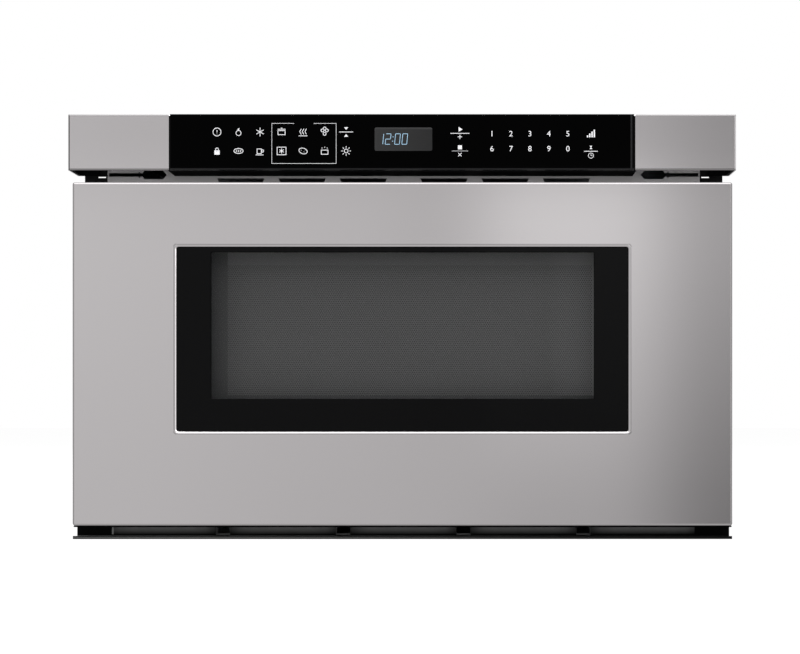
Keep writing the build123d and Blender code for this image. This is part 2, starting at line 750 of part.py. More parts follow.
# Fan shroud: a square frame with a round throat and a four-armed spider that holds the motor.
shroud_half = 65.0
shroud_depth = 27.8
spider_thickness = 4.0
spider_arm = 8.0
spider_hub = 16.0
spider_overlap = 2.0            # arm ends inside the frame
spider_bore_gap = 2.0
fan_shaft_radius = 2.5
shroud_y = back_y - shroud_depth
with BuildPart() as fan_shroud:
    with BuildSketch(front_plane(back_y)):
        with Locations((fan_x, fan_z)):
            Rectangle(2 * shroud_half, 2 * shroud_half)
            RegularPolygon(fan_bore, 2 * round_sides, mode=Mode.SUBTRACT)
    extrude(amount=shroud_depth)
    with BuildSketch(front_plane(shroud_y + spider_thickness)):
        with Locations((fan_x, fan_z)):
            Rectangle(2 * (fan_bore + spider_overlap), spider_arm)
            Rectangle(spider_arm, 2 * (fan_bore + spider_overlap))
            disc(spider_hub)
            disc(fan_shaft_radius + spider_bore_gap, mode=Mode.SUBTRACT)
    extrude(amount=spider_thickness)
write(fan_shroud, "fan_shroud")

# Fan motor: a laminated stator with a coil below it and a bearing cap at each end.
stator_half_width = 30.0
stator_half_height = 24.0
stator_depth = 18.0
cap_depth = 8.0
bearing_cap_radius = 11.0
coil_half = 14.0
coil_drop = 20.0
coil_overhang = 5.0
with BuildPart() as fan_motor:
    with BuildSketch(front_plane(shroud_y - cap_depth)):
        span(fan_x - stator_half_width, fan_x + stator_half_width, fan_z - stator_half_height,
             fan_z + stator_half_height)
    extrude(amount=stator_depth)
    with BuildSketch(front_plane(shroud_y)):
        with Locations((fan_x, fan_z)):
            disc(bearing_cap_radius)
    extrude(amount=2 * cap_depth + stator_depth)
    with BuildSketch(front_plane(shroud_y - cap_depth + coil_overhang)):
        span(fan_x - coil_half, fan_x + coil_half, fan_z - stator_half_height - coil_drop,
             fan_z - stator_half_height)
    extrude(amount=stator_depth + 2 * coil_overhang)
    with BuildSketch(front_plane(shroud_y)):
        with Locations((fan_x, fan_z)):
            Circle(fan_shaft_radius + running_fit)
    extrude(amount=cap_depth + stator_depth / 2, mode=Mode.SUBTRACT)
write(fan_motor, "fan_motor")

# Fan: five pitched blades on a hub, with its shaft into the motor.
fan_hub_radius = 18.0
fan_hub_depth = 16.0
blade_reach = 54.0
blade_chord = 26.0
blade_sheet = 1.8
blade_pitch = 35.0
blade_count = 5
fan_y = (shroud_y + spider_thickness + back_y) / 2
with BuildPart() as fan_blade:
    with BuildSketch(front_plane(fan_y + fan_hub_depth / 2)):
        with Locations((fan_x, fan_z)):
            disc(fan_hub_radius)
    extrude(amount=fan_hub_depth)
    with BuildSketch(front_plane(fan_y)):
        with Locations((fan_x, fan_z)):
            Circle(fan_shaft_radius)
    extrude(amount=fan_y - shroud_y + cap_depth + stator_depth / 2 - shaft_end_gap)
    for blade in range(blade_count):
        heading = 2 * pi * blade / blade_count
        root_plane = Plane(origin=(fan_x, fan_y, fan_z), x_dir=(0, 1, 0),
                           z_dir=(cos(heading), 0, sin(heading)))
        with BuildSketch(root_plane.offset(fan_hub_radius - vane_root)):
            Rectangle(blade_chord, blade_sheet, rotation=blade_pitch)
        extrude(amount=blade_reach - fan_hub_radius + vane_root)
write(fan_blade, "fan_blade")

# Air guide: a curved sheet that turns the fan's air towards the magnetron.
guide_sheet = 2.0
guide_low = fan_z - shroud_half
guide_high = fan_z + shroud_half
seat_gap = 0.3
guide_start_y = shroud_y - seat_gap
guide_radius = guide_start_y - bay_y - seat_gap - guide_sheet / 2
with BuildPart() as air_guide:
    with BuildSketch(Plane.XY.offset(guide_low)):
        with BuildLine():
            JernArc(start=(fan_x + shroud_half - guide_sheet, guide_start_y), tangent=(0, -1),
                    radius=guide_radius, arc_size=-90)
        trace(line_width=guide_sheet)
    extrude(amount=guide_high - guide_low)
write(air_guide, "air_guide")

# Exhaust duct: a flat funnel from the upper bay to the louvre.
duct_half_front = 181.0
duct_half_rear = 80.0
duct_length = 120.0
duct_rear_drop = 26.0           # below the chassis top
duct_rear_height = 37.0
duct_rear_high = chassis_top - duct_rear_drop
duct_rear_low = duct_rear_high - duct_rear_height
duct_wall = 1.5
duct_y = flange_y + louvre_sheet
duct_end_y = duct_y + duct_length


def funnel(inset):
    """Flat funnel from the louvre back to the upper bay, with its walls moved in by inset."""
    with BuildPart() as body:
        with BuildSketch(Plane.XY.offset(duct_rear_low)):
            Polygon((-duct_half_front + inset, duct_y), (duct_half_front - inset, duct_y),
                    (duct_half_rear - inset, duct_end_y), (-duct_half_rear + inset, duct_end_y), align=None)
        extrude(amount=duct_rear_high - duct_rear_low)
        with BuildSketch(side_plane(-duct_half_front)):
            Polygon((duct_y, louvre_low + clearance + inset), (duct_y, panel_bottom - clearance - inset),
                    (duct_end_y, duct_rear_high - inset), (duct_end_y, duct_rear_low + inset), align=None)
        extrude(amount=2 * duct_half_front, mode=Mode.INTERSECT)
    return body.part


with BuildPart() as exhaust_duct:
    add(funnel(0))
    add(funnel(duct_wall), mode=Mode.SUBTRACT)
write(exhaust_duct, "exhaust_duct")

# Filter board: a small circuit board on posts beside the cord gland, with choke, capacitors and fuse.
board_thickness = 1.6
filter_board_half = 36.0
filter_board_height = 60.0
filter_board_low = 60.0
filter_post = 7.2
board_post_radius = 3.0
board_post_inset = 5.0          # posts from a board's edges
part_height = 12.0
ring_choke_radius = 12.0
ring_choke_bore = 5.0
ring_choke_x = -14.0            # parts from the board's middle and lower edge
ring_choke_z = 20.0
block_x = 16.0
box_part_z = 16.0
box_part_width = 26.0
box_part_height = 12.0
fuse_z = 38.0
fuse_width = 30.0
fuse_height = 8.0
filter_x = gland_x
filter_y = back_y - filter_post
with BuildPart() as filter_board:
    with BuildSketch(front_plane(filter_y)):
        span(filter_x - filter_board_half, filter_x + filter_board_half, filter_board_low,
             filter_board_low + filter_board_height)
    extrude(amount=board_thickness)
    with BuildSketch(front_plane(back_y)):
        with Locations((filter_x, filter_board_low + filter_board_height / 2)):
            with GridLocations(2 * (filter_board_half - board_post_inset),
                               filter_board_height - 2 * board_post_inset, 2, 2):
                RegularPolygon(board_post_radius, 6)
    extrude(amount=filter_post)
    with BuildSketch(front_plane(filter_y - board_thickness)):
        with Locations((filter_x + ring_choke_x, filter_board_low + ring_choke_z)):
            disc(ring_choke_radius)
            disc(ring_choke_bore, mode=Mode.SUBTRACT)
        with Locations((filter_x + block_x, filter_board_low + box_part_z)):
            Rectangle(box_part_width, box_part_height)
        with Locations((filter_x + block_x, filter_board_low + fuse_z)):
            Rectangle(fuse_width, fuse_height)
    extrude(amount=part_height)
write(filter_board, "filter_board")

# Thermal cut-outs: two button thermostats, on the cavity's top and on its back.
cutout_radius = 8.0
cutout_height = 7.0
cutout_x = -150.0
cutout_inset = 60.0
with BuildPart() as thermal_cutouts:
    with BuildSketch(Plane.XY.offset(cavity_top)):
        with Locations((cutout_x, bay_y - cutout_inset)):
            disc(cutout_radius)
    extrude(amount=cutout_height)
    with BuildSketch(front_plane(bay_y)):
        with Locations((cutout_x, cavity_ceiling - cutout_inset)):
            disc(cutout_radius)
    extrude(amount=-cutout_height)
write(thermal_cutouts, "thermal_cutouts")

# Lamp holder: a bracket on the cavity's side that carries the socket, with the bulb facing the hole.
lamp_plate = 1.2
lamp_reach = 32.0
socket_radius = 10.0
socket_length = 12.0
bulb_radius = 9.0
bulb_gap = 3.0
bracket_half = 20.0
bracket_rise = 20.0
lamp_x = cavity_half + cavity_wall
with BuildPart() as lamp_holder:
    with BuildSketch(side_plane(lamp_x)):
        span(lamp_y - bracket_half, lamp_y + bracket_half, lamp_z - bracket_rise, lamp_z + bracket_rise)
        with Locations((lamp_y, lamp_z)):
            Rectangle(lamp_hole_width, lamp_hole_height, mode=Mode.SUBTRACT)
    extrude(amount=lamp_plate)
    with BuildSketch(front_plane(lamp_y + bracket_half)):
        span(lamp_x, lamp_x + lamp_reach, lamp_z + bracket_rise - lamp_plate, lamp_z + bracket_rise)
        span(lamp_x + lamp_reach - lamp_plate, lamp_x + lamp_reach, lamp_z - bracket_rise,
             lamp_z + bracket_rise)
    extrude(amount=2 * bracket_half)
    with BuildSketch(side_plane(lamp_x + lamp_reach - lamp_plate)):
        with Locations((lamp_y, lamp_z)):
            disc(socket_radius)
    extrude(amount=-socket_length)
write(lamp_holder, "lamp_holder")

# Lamp bulb: a short capsule in the socket, with a bevelled nose.
socket_face = lamp_x + lamp_reach - lamp_plate - socket_length
bulb_nose_x = lamp_x + bulb_gap
with BuildPart() as lamp_bulb:
    with BuildSketch(side_plane(bulb_nose_x)):
        with Locations((lamp_y, lamp_z)):
            disc(bulb_radius)
    extrude(amount=socket_face - bulb_nose_x)
    chamfer(lamp_bulb.edges().group_by(Axis.X)[0], bulb_radius / 3)
write(lamp_bulb, "lamp_bulb")

# ==== drawer drive ====


def flank_angle(radius, teeth, module):
    """Half the angle that one gear tooth fills at this radius, on an involute flank."""
    pitch_radius = teeth * module / 2
    base_radius = pitch_radius * cos(pressure)
    roll = acos(min(1.0, base_radius / radius))
    half_tooth = pi / (2 * teeth) - backlash / pitch_radius
    return half_tooth + tan(pressure) - pressure - (tan(roll) - roll)


def gear_points(centre_y, centre_z, teeth, module, first_angle):
    """Outline of a gear in the Y-Z plane, with the middle of one tooth at first_angle."""
    pitch_radius = teeth * module / 2
    radii = (pitch_radius - root_share * module, pitch_radius, pitch_radius + tip_share * module)
    points = []
    for tooth in range(teeth):
        middle = first_angle + 2 * pi * tooth / teeth
        for radius in radii:
            angle = middle - flank_angle(radius, teeth, module)
            points.append((centre_y + radius * cos(angle), centre_z + radius * sin(angle)))
        for radius in reversed(radii):
            angle = middle + flank_angle(radius, teeth, module)
            points.append((centre_y + radius * cos(angle), centre_z + radius * sin(angle)))
    return points


# Cross shaft under the cavity, in mesh with both racks.
shaft_end = 3.0
pinion_x = (rack_inner + arm_inner) / 2
shaft_half = pinion_x + pinion_width / 2 + shaft_end
with BuildPart() as cross_shaft:
    with BuildSketch(side_plane(-shaft_half)):
        with Locations((shaft_y, shaft_z)):
            Circle(shaft_radius)
    extrude(amount=2 * shaft_half)
write(cross_shaft, "cross_shaft")

# Gears on the shaft: a pinion at each end, a tooth straight up, and the shaft gear, a tooth straight back.
with BuildPart() as shaft_gears:
    for side in (-1, 1):
        with BuildSketch(side_plane(side * pinion_x - pinion_width / 2)):
            with BuildLine():
                Polyline(*gear_points(shaft_y, shaft_z, pinion_teeth, rack_module, pi / 2), close=True)
            make_face()
            with Locations((shaft_y, shaft_z)):
                Circle(shaft_radius, mode=Mode.SUBTRACT)
        extrude(amount=pinion_width)
    with BuildSketch(side_plane(gear_x - gear_width / 2)):
        with BuildLine():
            Polyline(*gear_points(shaft_y, shaft_z, shaft_gear_teeth, gear_module, 0), close=True)
        make_face()
        with Locations((shaft_y, shaft_z)):
            Circle(shaft_radius, mode=Mode.SUBTRACT)
    extrude(amount=gear_width)
write(shaft_gears, "shaft_gears")

# Gear motor: a gearbox on feet with a round motor on its left.
gearbox_half = 20.0
gearbox_front_gap = 8.0         # gearbox face behind the shaft centre
gearbox_length = 60.0
gearbox_low = 30.0
gearbox_high = 80.0
gearbox_foot = 3.0
motor_radius = 18.5
motor_length = 62.0
motor_offset = 15.0
motor_gear_gap = 1.0
gear_side_gap = 2.0             # gearbox to the gears' faces, and shaft end to the blind bore's end
gearbox_foot_inset = 10.0
foot_lap = 1.0                  # foot inside the gearbox
motor_shaft_radius = 3.0
motor_gear_y = shaft_y + gear_module * (shaft_gear_teeth + motor_gear_teeth) / 2
gearbox_y = shaft_y + gearbox_front_gap
gearbox_right = gear_x - gear_width / 2 - motor_gear_gap - gear_side_gap
gearbox_left = gearbox_right - 2 * gearbox_half
with BuildPart() as gear_motor:
    with BuildSketch(side_plane(gearbox_left)):
        span(gearbox_y, gearbox_y + gearbox_length, gearbox_low, gearbox_high)
        for foot_y in (gearbox_y + gearbox_foot_inset, gearbox_y + gearbox_length - gearbox_foot_inset):
            span(foot_y - gearbox_foot, foot_y + gearbox_foot, sheet, gearbox_low + foot_lap)
    extrude(amount=2 * gearbox_half)
    with BuildSketch(side_plane(gearbox_left)):
        with Locations((motor_gear_y + motor_offset, shaft_z)):
            disc(motor_radius)
    extrude(amount=-motor_length)
    with BuildSketch(side_plane(gearbox_right)):
        with Locations((motor_gear_y, shaft_z)):
            Circle(motor_shaft_radius + running_fit)
    extrude(amount=-gearbox_half, mode=Mode.SUBTRACT)
write(gear_motor, "gear_motor")

# The motor's gear and its shaft into the gearbox, with a tooth gap towards the shaft gear.
with BuildPart() as motor_gear:
    with BuildSketch(side_plane(gear_x - gear_width / 2)):
        with BuildLine():
            Polyline(*gear_points(motor_gear_y, shaft_z, motor_gear_teeth, gear_module,
                                  pi + pi / motor_gear_teeth), close=True)
        make_face()
    extrude(amount=gear_width)
    with BuildSketch(side_plane(gearbox_right - gearbox_half + gear_side_gap)):
        with Locations((motor_gear_y, shaft_z)):
            Circle(motor_shaft_radius)
    extrude(amount=gear_x - gearbox_right + gearbox_half - gear_side_gap)
write(motor_gear, "motor_gear")

# Bearing brackets: upright plates with a bush each, just inside the pinions.
bracket_width = 32.0
bracket_sheet = 3.0
bracket_foot = 16.0
bush_radius = 7.0
bush_length = 8.0
bush_gap = 4.0
bracket_top = shaft_z + 12.0
bracket_x = rack_inner - bush_gap - bush_length / 2
with BuildPart() as bearing_brackets:
    for side in (-1, 1):
        with BuildSketch(side_plane(side * bracket_x - bracket_sheet / 2)):
            Polygon((shaft_y - bracket_width / 2, sheet), (shaft_y - bracket_width / 2, shaft_z),
                    (shaft_y - bracket_width / 4, bracket_top), (shaft_y + bracket_width / 4, bracket_top),
                    (shaft_y + bracket_width / 2, shaft_z), (shaft_y + bracket_width / 2, sheet),
                    align=None)
        extrude(amount=bracket_sheet)
        with BuildSketch(Plane.XY.offset(sheet)):
            with Locations((side * (bracket_x - bracket_foot / 2), shaft_y)):
                Rectangle(bracket_foot, bracket_width)
        extrude(amount=bracket_sheet)
        with BuildSketch(side_plane(side * bracket_x - bush_length / 2)):
            with Locations((shaft_y, shaft_z)):
                disc(bush_radius)
        extrude(amount=bush_length)
    with BuildSketch(side_plane(-shaft_half)):
        with Locations((shaft_y, shaft_z)):
            Circle(shaft_radius + running_fit)
    extrude(amount=2 * shaft_half, mode=Mode.SUBTRACT)
write(bearing_brackets, "bearing_brackets")

# ==== telescopic slides ====
# Each slide has three nested channels.  Depths are measured from the chassis side inwards, half heights
# from the slide's middle.
outer_sheet = 1.5
outer_depth = 10.5
middle_start = 2.3
middle_sheet = 1.3
middle_depth = 10.5
middle_half = 17.9
inner_start = 5.5
inner_sheet = 1.5
inner_slide_half = 13.1
outer_slide_half = slide_height / 2
retainer_gap = 0.3
retainer_start = 4.8
retainer_end = 9.6
retainer_length = 150.0
race_bands = ((inner_slide_half + retainer_gap, middle_half - middle_sheet - retainer_gap),
              (middle_half + retainer_gap, outer_slide_half - outer_sheet - retainer_gap))
retainer_y = slide_y + slide_length / 2


def channel(side, start, end, half, thickness, web_at_end):
    """Section of one slide channel in a sketch across the slide, on either side of the chassis."""
    wall = side * inner_half
    near = wall - side * start
    far = wall - side * end
    with Locations(((near + far) / 2, slide_z)):
        Rectangle(end - start, 2 * half)
    hollow_near = near - (0 if web_at_end else side * thickness)
    hollow_far = far + (side * thickness if web_at_end else 0)
    with Locations(((hollow_near + hollow_far) / 2, slide_z)):
        Rectangle(end - start - thickness, 2 * (half - thickness), mode=Mode.SUBTRACT)


with BuildPart() as slide_outer_members:
    for side in (-1, 1):
        with BuildSketch(front_plane(slide_y + slide_length)):
            channel(side, 0, outer_depth, outer_slide_half, outer_sheet, False)
        extrude(amount=slide_length)
write(slide_outer_members, "slide_outer_members")

# The middle member carries the ball retainers, strips that fill the four races.
with BuildPart() as slide_middle_right:
    with BuildSketch(front_plane(slide_y + slide_length)):
        channel(1, middle_start, middle_depth, middle_half, middle_sheet, False)
    extrude(amount=slide_length)
    with BuildSketch(front_plane(retainer_y + retainer_length / 2)):
        for low, high in race_bands:
            with Locations((inner_half - (retainer_start + retainer_end) / 2, slide_z)):
                with GridLocations(0, low + high, 1, 2):
                    Rectangle(retainer_end - retainer_start, high - low)
    extrude(amount=retainer_length)
write(slide_middle_right, "slide_middle_right")
write_mirrored(slide_middle_right, "slide_middle_left")

with BuildPart() as slide_inner_members:
    for side in (-1, 1):
        with BuildSketch(front_plane(slide_y + slide_length)):
            channel(side, inner_start, slide_thickness, inner_slide_half, inner_sheet, True)
        extrude(amount=slide_length)
write(slide_inner_members, "slide_inner_members")

# ==== drawer ====

# Support arms: long plates on the inner slide members, with a foot bolted to the door.
arm_high = slide_z + 24.0
arm_low = pitch_line_z + 3.0
arm_rear = slide_y + slide_length
arm_rear_low = slide_z - 24.0
arm_step_y = arm_rear - 40.0
arm_foot_inset = 1.0            # foot beside the choke
arm_foot_outer = 8.0            # foot beyond the arm
arm_foot_sheet = 2.0
arm_hole_length = 60.0
arm_hole_height = 26.0
arm_hole_pitch = (arm_step_y - frame_back_y) / 4.1
arm_hole_count = 4
arm_hole_z = (rack_body_top + slide_z - outer_slide_half) / 2
with BuildPart() as support_arms:
    for side in (-1, 1):
        with BuildSketch(side_plane(side * (arm_inner + arm_outer) / 2 - arm_thickness / 2)):
            Polygon((frame_back_y, arm_low), (arm_step_y, arm_low), (arm_rear, arm_rear_low),
                    (arm_rear, arm_high), (frame_back_y, arm_high), align=None)
            with Locations(((frame_back_y + arm_step_y) / 2, arm_hole_z)):
                with GridLocations(arm_hole_pitch, 0, arm_hole_count, 1):
                    Rectangle(arm_hole_length, arm_hole_height, mode=Mode.SUBTRACT)
        extrude(amount=arm_thickness)
        with BuildSketch(front_plane(frame_back_y + arm_foot_sheet)):
            with Locations((side * (choke_half + arm_foot_inset + arm_outer + arm_foot_outer) / 2,
                            (arm_low + arm_high) / 2)):
                Rectangle(arm_outer + arm_foot_outer - choke_half - arm_foot_inset, arm_high - arm_low)
        extrude(amount=arm_foot_sheet)
write(support_arms, "support_arms")

# Racks: toothed bars along the arms, teeth down, with a gap over the shaft when the drawer is shut.
rack_front = slide_y
rack_rear_margin = 20.0         # rack beyond the pinion when the drawer is fully open
rack_rear = shaft_y + drawer_travel + rack_rear_margin
rack_pitch = pi * rack_module
rack_tip_z = pitch_line_z - tip_share * rack_module
tip_half = rack_pitch / 4 - backlash - tip_share * rack_module * tan(pressure)
root_half = rack_pitch / 4 - backlash + root_share * rack_module * tan(pressure)
rack_points = [(rack_front, rack_body_top), (rack_front, rack_root_z)]
first_tooth = floor((rack_front + root_half - shaft_y) / rack_pitch - 0.5) + 1
last_tooth = floor((rack_rear - root_half - shaft_y) / rack_pitch - 0.5)
for tooth in range(first_tooth, last_tooth + 1):
    tooth_y = shaft_y + (tooth + 0.5) * rack_pitch
    rack_points.append((tooth_y - root_half, rack_root_z))
    rack_points.append((tooth_y - tip_half, rack_tip_z))
    rack_points.append((tooth_y + tip_half, rack_tip_z))
    rack_points.append((tooth_y + root_half, rack_root_z))
rack_points.append((rack_rear, rack_root_z))
rack_points.append((rack_rear, rack_body_top))
with BuildPart() as drawer_racks:
    for side in (-1, 1):
        with BuildSketch(side_plane(side * (rack_inner + arm_inner) / 2 - rack_width / 2)):
            with BuildLine():
                Polyline(*rack_points, close=True)
            make_face()
        extrude(amount=rack_width)
write(drawer_racks, "drawer_racks")

# Door skin: a steel tray with bevelled edges and a hemmed window opening.
pick = 0.05                     # how close an edge lies to the window's rim to be picked
with BuildPart() as door_skin:
    with BuildSketch(front_plane(door_y + skin_return)):
        round_span(-door_half, door_half, door_bottom, door_top, door_edge_round)
    extrude(amount=skin_return)
    door_face = door_skin.faces().sort_by(Axis.Y)[0]
    chamfer(door_face.edges(), door_bevel_width, door_bevel_depth, reference=door_face)
    with BuildSketch(front_plane(door_y + skin_return)):
        span(-door_half + skin, door_half - skin, door_bottom + skin, door_top - skin)
    extrude(amount=skin_return - skin, mode=Mode.SUBTRACT)
    with BuildSketch(front_plane(glass_back_y)):
        span(-window_half - hem_width, window_half + hem_width, window_low - hem_width,
             window_high + hem_width)
    extrude(amount=glass_back_y - frame_y)
    with BuildSketch(front_plane(glass_back_y)):
        span(-window_half, window_half, window_low, window_high)
    extrude(amount=glass_back_y - door_y, mode=Mode.SUBTRACT)
    window_rim = door_skin.edges().filter_by_position(Axis.Y, door_y - pick, door_y + pick)
    window_rim = window_rim.filter_by_position(Axis.X, -window_half - pick, window_half + pick)
    window_rim = window_rim.filter_by_position(Axis.Z, window_low - pick, window_high + pick)
    chamfer(window_rim, hem_bevel)
write(door_skin, "door_skin")

# Window glass, set back inside the hem.
glass_bevel = 0.5
with BuildPart() as door_glass:
    with BuildSketch(front_plane(glass_back_y)):
        span(-window_half + clearance, window_half - clearance, window_low + clearance,
             window_high - clearance)
    extrude(amount=glass_thickness)
    chamfer(door_glass.faces().sort_by(Axis.Y)[0].edges(), glass_bevel)
write(door_glass, "door_glass")

# Door frame: a ribbed moulding that carries skin, glass, choke and arms.
frame_wall = 1.8
pocket_back = 1.2
frame_rib = 2.0
side_pocket_inner = choke_half + clearance + frame_wall
side_pocket_outer = frame_half - frame_wall
low_pocket_top = choke_low - clearance - frame_wall
rib_rows = 4
with BuildPart() as door_frame:
    with BuildSketch(front_plane(frame_back_y)):
        span(-frame_half, frame_half, frame_low, frame_high)
    extrude(amount=frame_back_y - frame_y)
    with BuildSketch(front_plane(glass_back_y)):
        span(-window_half - hem_width - clearance, window_half + hem_width + clearance,
             window_low - hem_width - clearance, window_high + hem_width + clearance)
    extrude(amount=glass_back_y - frame_y, mode=Mode.SUBTRACT)
    with BuildSketch(front_plane(frame_back_y)):
        span(-choke_half - clearance, choke_half + clearance, choke_low - clearance,
             choke_high + clearance)
    extrude(amount=frame_back_y - glass_back_y - frame_web, mode=Mode.SUBTRACT)
    with BuildSketch(front_plane(frame_back_y)):
        span(-clear_half, clear_half, clear_low, clear_high)
    extrude(amount=frame_back_y - frame_y, mode=Mode.SUBTRACT)
    pocket_height = (frame_high - frame_low - 2 * frame_wall - (rib_rows - 1) * frame_rib) / rib_rows
    for side in (-1, 1):
        for row in range(rib_rows):
            pocket_low = frame_low + frame_wall + row * (pocket_height + frame_rib)
            with BuildSketch(front_plane(frame_back_y - pocket_back)):
                with Locations((side * (side_pocket_inner + side_pocket_outer) / 2,
                                pocket_low + pocket_height / 2)):
                    Rectangle(side_pocket_outer - side_pocket_inner, pocket_height)
            extrude(amount=frame_back_y - pocket_back - frame_y, mode=Mode.SUBTRACT)
    with BuildSketch(front_plane(frame_back_y - pocket_back)):
        with Locations((0, (frame_low + frame_wall + low_pocket_top) / 2)):
            with GridLocations(choke_half / 2, 0, 4, 1):
                Rectangle(choke_half / 2 - frame_rib, low_pocket_top - frame_low - frame_wall)
    extrude(amount=frame_back_y - pocket_back - frame_y, mode=Mode.SUBTRACT)
write(door_frame, "door_frame")

# Choke frame: a folded tray with a channel all round; its outer wall is cut into a comb.
choke_y = glass_back_y + frame_web
choke_back_y = door_back_y - choke_cover_thickness
choke_inner_half = choke_half - choke_channel
choke_inner_low = choke_low + choke_channel
choke_inner_high = choke_high - choke_channel
comb_depth = 0.6 * (choke_back_y - choke_y)
with BuildPart() as choke_frame:
    with BuildSketch(front_plane(choke_back_y)):
        span(-choke_half, choke_half, choke_low, choke_high)
        span(-choke_half + choke_wall, choke_half - choke_wall, choke_low + choke_wall,
             choke_high - choke_wall, mode=Mode.SUBTRACT)
        span(-choke_inner_half, choke_inner_half, choke_inner_low, choke_inner_high)
        span(-choke_inner_half + choke_wall, choke_inner_half - choke_wall, choke_inner_low + choke_wall,
             choke_inner_high - choke_wall, mode=Mode.SUBTRACT)
    extrude(amount=choke_back_y - choke_y)
    with BuildSketch(front_plane(choke_y + choke_wall)):
        span(-choke_half, choke_half, choke_low, choke_high)
        span(-choke_inner_half + choke_wall, choke_inner_half - choke_wall, choke_inner_low + choke_wall,
             choke_inner_high - choke_wall, mode=Mode.SUBTRACT)
    extrude(amount=choke_wall)
    with BuildSketch(front_plane(choke_back_y)):
        span(-choke_inner_half, choke_inner_half, choke_inner_low, choke_inner_high)
        span(-clear_half, clear_half, clear_low, clear_high, mode=Mode.SUBTRACT)
    extrude(amount=choke_wall)
    with BuildSketch(front_plane(choke_back_y)):
        with Locations((0, (choke_low + choke_high) / 2)):
            comb_columns = floor(2 * choke_half / comb_pitch) - 1
            comb_rows = floor((choke_high - choke_low) / comb_pitch) - 1
            with GridLocations(comb_pitch, choke_high - choke_low - choke_wall, comb_columns, 2):
                Rectangle(comb_slot, choke_wall)
            with GridLocations(2 * choke_half - choke_wall, comb_pitch, 2, comb_rows):
                Rectangle(choke_wall, comb_slot)
    extrude(amount=comb_depth, mode=Mode.SUBTRACT)
write(choke_frame, "choke_frame")

# Choke cover: a flat plastic ring over the channel, facing the front plate.
with BuildPart() as choke_cover:
    with BuildSketch(front_plane(door_back_y)):
        span(-choke_half, choke_half, choke_low, choke_high)
        span(-choke_inner_half + choke_wall, choke_inner_half - choke_wall, choke_inner_low + choke_wall,
             choke_inner_high - choke_wall, mode=Mode.SUBTRACT)
    extrude(amount=choke_cover_thickness)
write(choke_cover, "choke_cover")

# Perforated screen behind the window tunnel; the holes are too fine to model.
screen_sheet = 0.6
screen_margin = 8.0
screen_y = choke_back_y - choke_wall
with BuildPart() as door_screen:
    with BuildSketch(front_plane(screen_y)):
        span(-clear_half - screen_margin, clear_half + screen_margin, clear_low - screen_margin,
             clear_high + screen_margin)
    extrude(amount=screen_sheet)
write(door_screen, "door_screen")

# Drawer tub: rounded pan open at the top and towards the window, bolted to the choke frame by a flange.
tub_flange = 12.0
tub_flange_y = door_back_y - choke_cover_thickness
with BuildPart() as drawer_tub:
    with BuildSketch(Plane.XY.offset(tub_low)):
        span(-tub_half, tub_half, tub_flange_y, tub_rear)
    extrude(amount=tub_high - tub_low)
    corner_edges = drawer_tub.edges().filter_by(Axis.Z).group_by(Axis.Y)[-1]
    fillet(corner_edges, tub_corner)
    with BuildSketch(Plane.XY.offset(tub_low + tub_wall)):
        span(-tub_half + tub_wall, tub_half - tub_wall, tub_flange_y, tub_rear - tub_wall)
    extrude(amount=tub_high - tub_low, mode=Mode.SUBTRACT)
    with BuildSketch(front_plane(tub_flange_y + tub_wall)):
        span(-tub_half, tub_half, tub_low, tub_high)
        span(-tub_half + tub_flange, tub_half - tub_flange, tub_low + tub_sill, tub_high + over_cut,
             mode=Mode.SUBTRACT)
    extrude(amount=tub_wall)
write(drawer_tub, "drawer_tub")

# Ceramic floor plate in the tub.
plate_bevel = 1.0
plate_corner = tub_corner * 0.6
with BuildPart() as ceramic_floor:
    with BuildSketch(Plane.XY.offset(tub_low + tub_wall)):
        span(-tub_half + tub_wall + plate_gap, tub_half - tub_wall - plate_gap,
             tub_flange_y + tub_wall + plate_gap, tub_rear - tub_wall - plate_gap)
    extrude(amount=plate_thickness)
    chamfer(ceramic_floor.edges().filter_by(Axis.Z), plate_corner)
    chamfer(ceramic_floor.edges().group_by(Axis.Z)[-1], plate_bevel)
write(ceramic_floor, "ceramic_floor")

# ==== interlock ====

# Latch hooks on the door's back, each with a foot, a bar and a barbed head.
hook_width = 3.0
hook_reach = 25.0               # hook tip behind the front plate's face
hook_tip_y = wall_y + hook_reach
hook_foot_half = 7.0
hook_foot_sheet = 2.0
hook_barb = 3.0
hook_barb_length = 6.0
with BuildPart() as latch_hooks:
    for hook_z in (hook_low_z, hook_high_z):
        with BuildSketch(side_plane(hook_x - hook_width / 2)):
            span(frame_back_y, hook_tip_y, hook_z - hook_height / 2, hook_z + hook_height / 2)
            Polygon((hook_tip_y - hook_barb_length, hook_z + hook_height / 2),
                    (hook_tip_y - hook_barb_length, hook_z + hook_height / 2 + hook_barb),
                    (hook_tip_y, hook_z + hook_height / 2), align=None)
        extrude(amount=hook_width)
        with BuildSketch(front_plane(frame_back_y + hook_foot_sheet)):
            with Locations((hook_x, hook_z)):
                Rectangle(2 * hook_foot_half, 2 * hook_foot_half)
        extrude(amount=hook_foot_sheet)
write(latch_hooks, "latch_hooks")

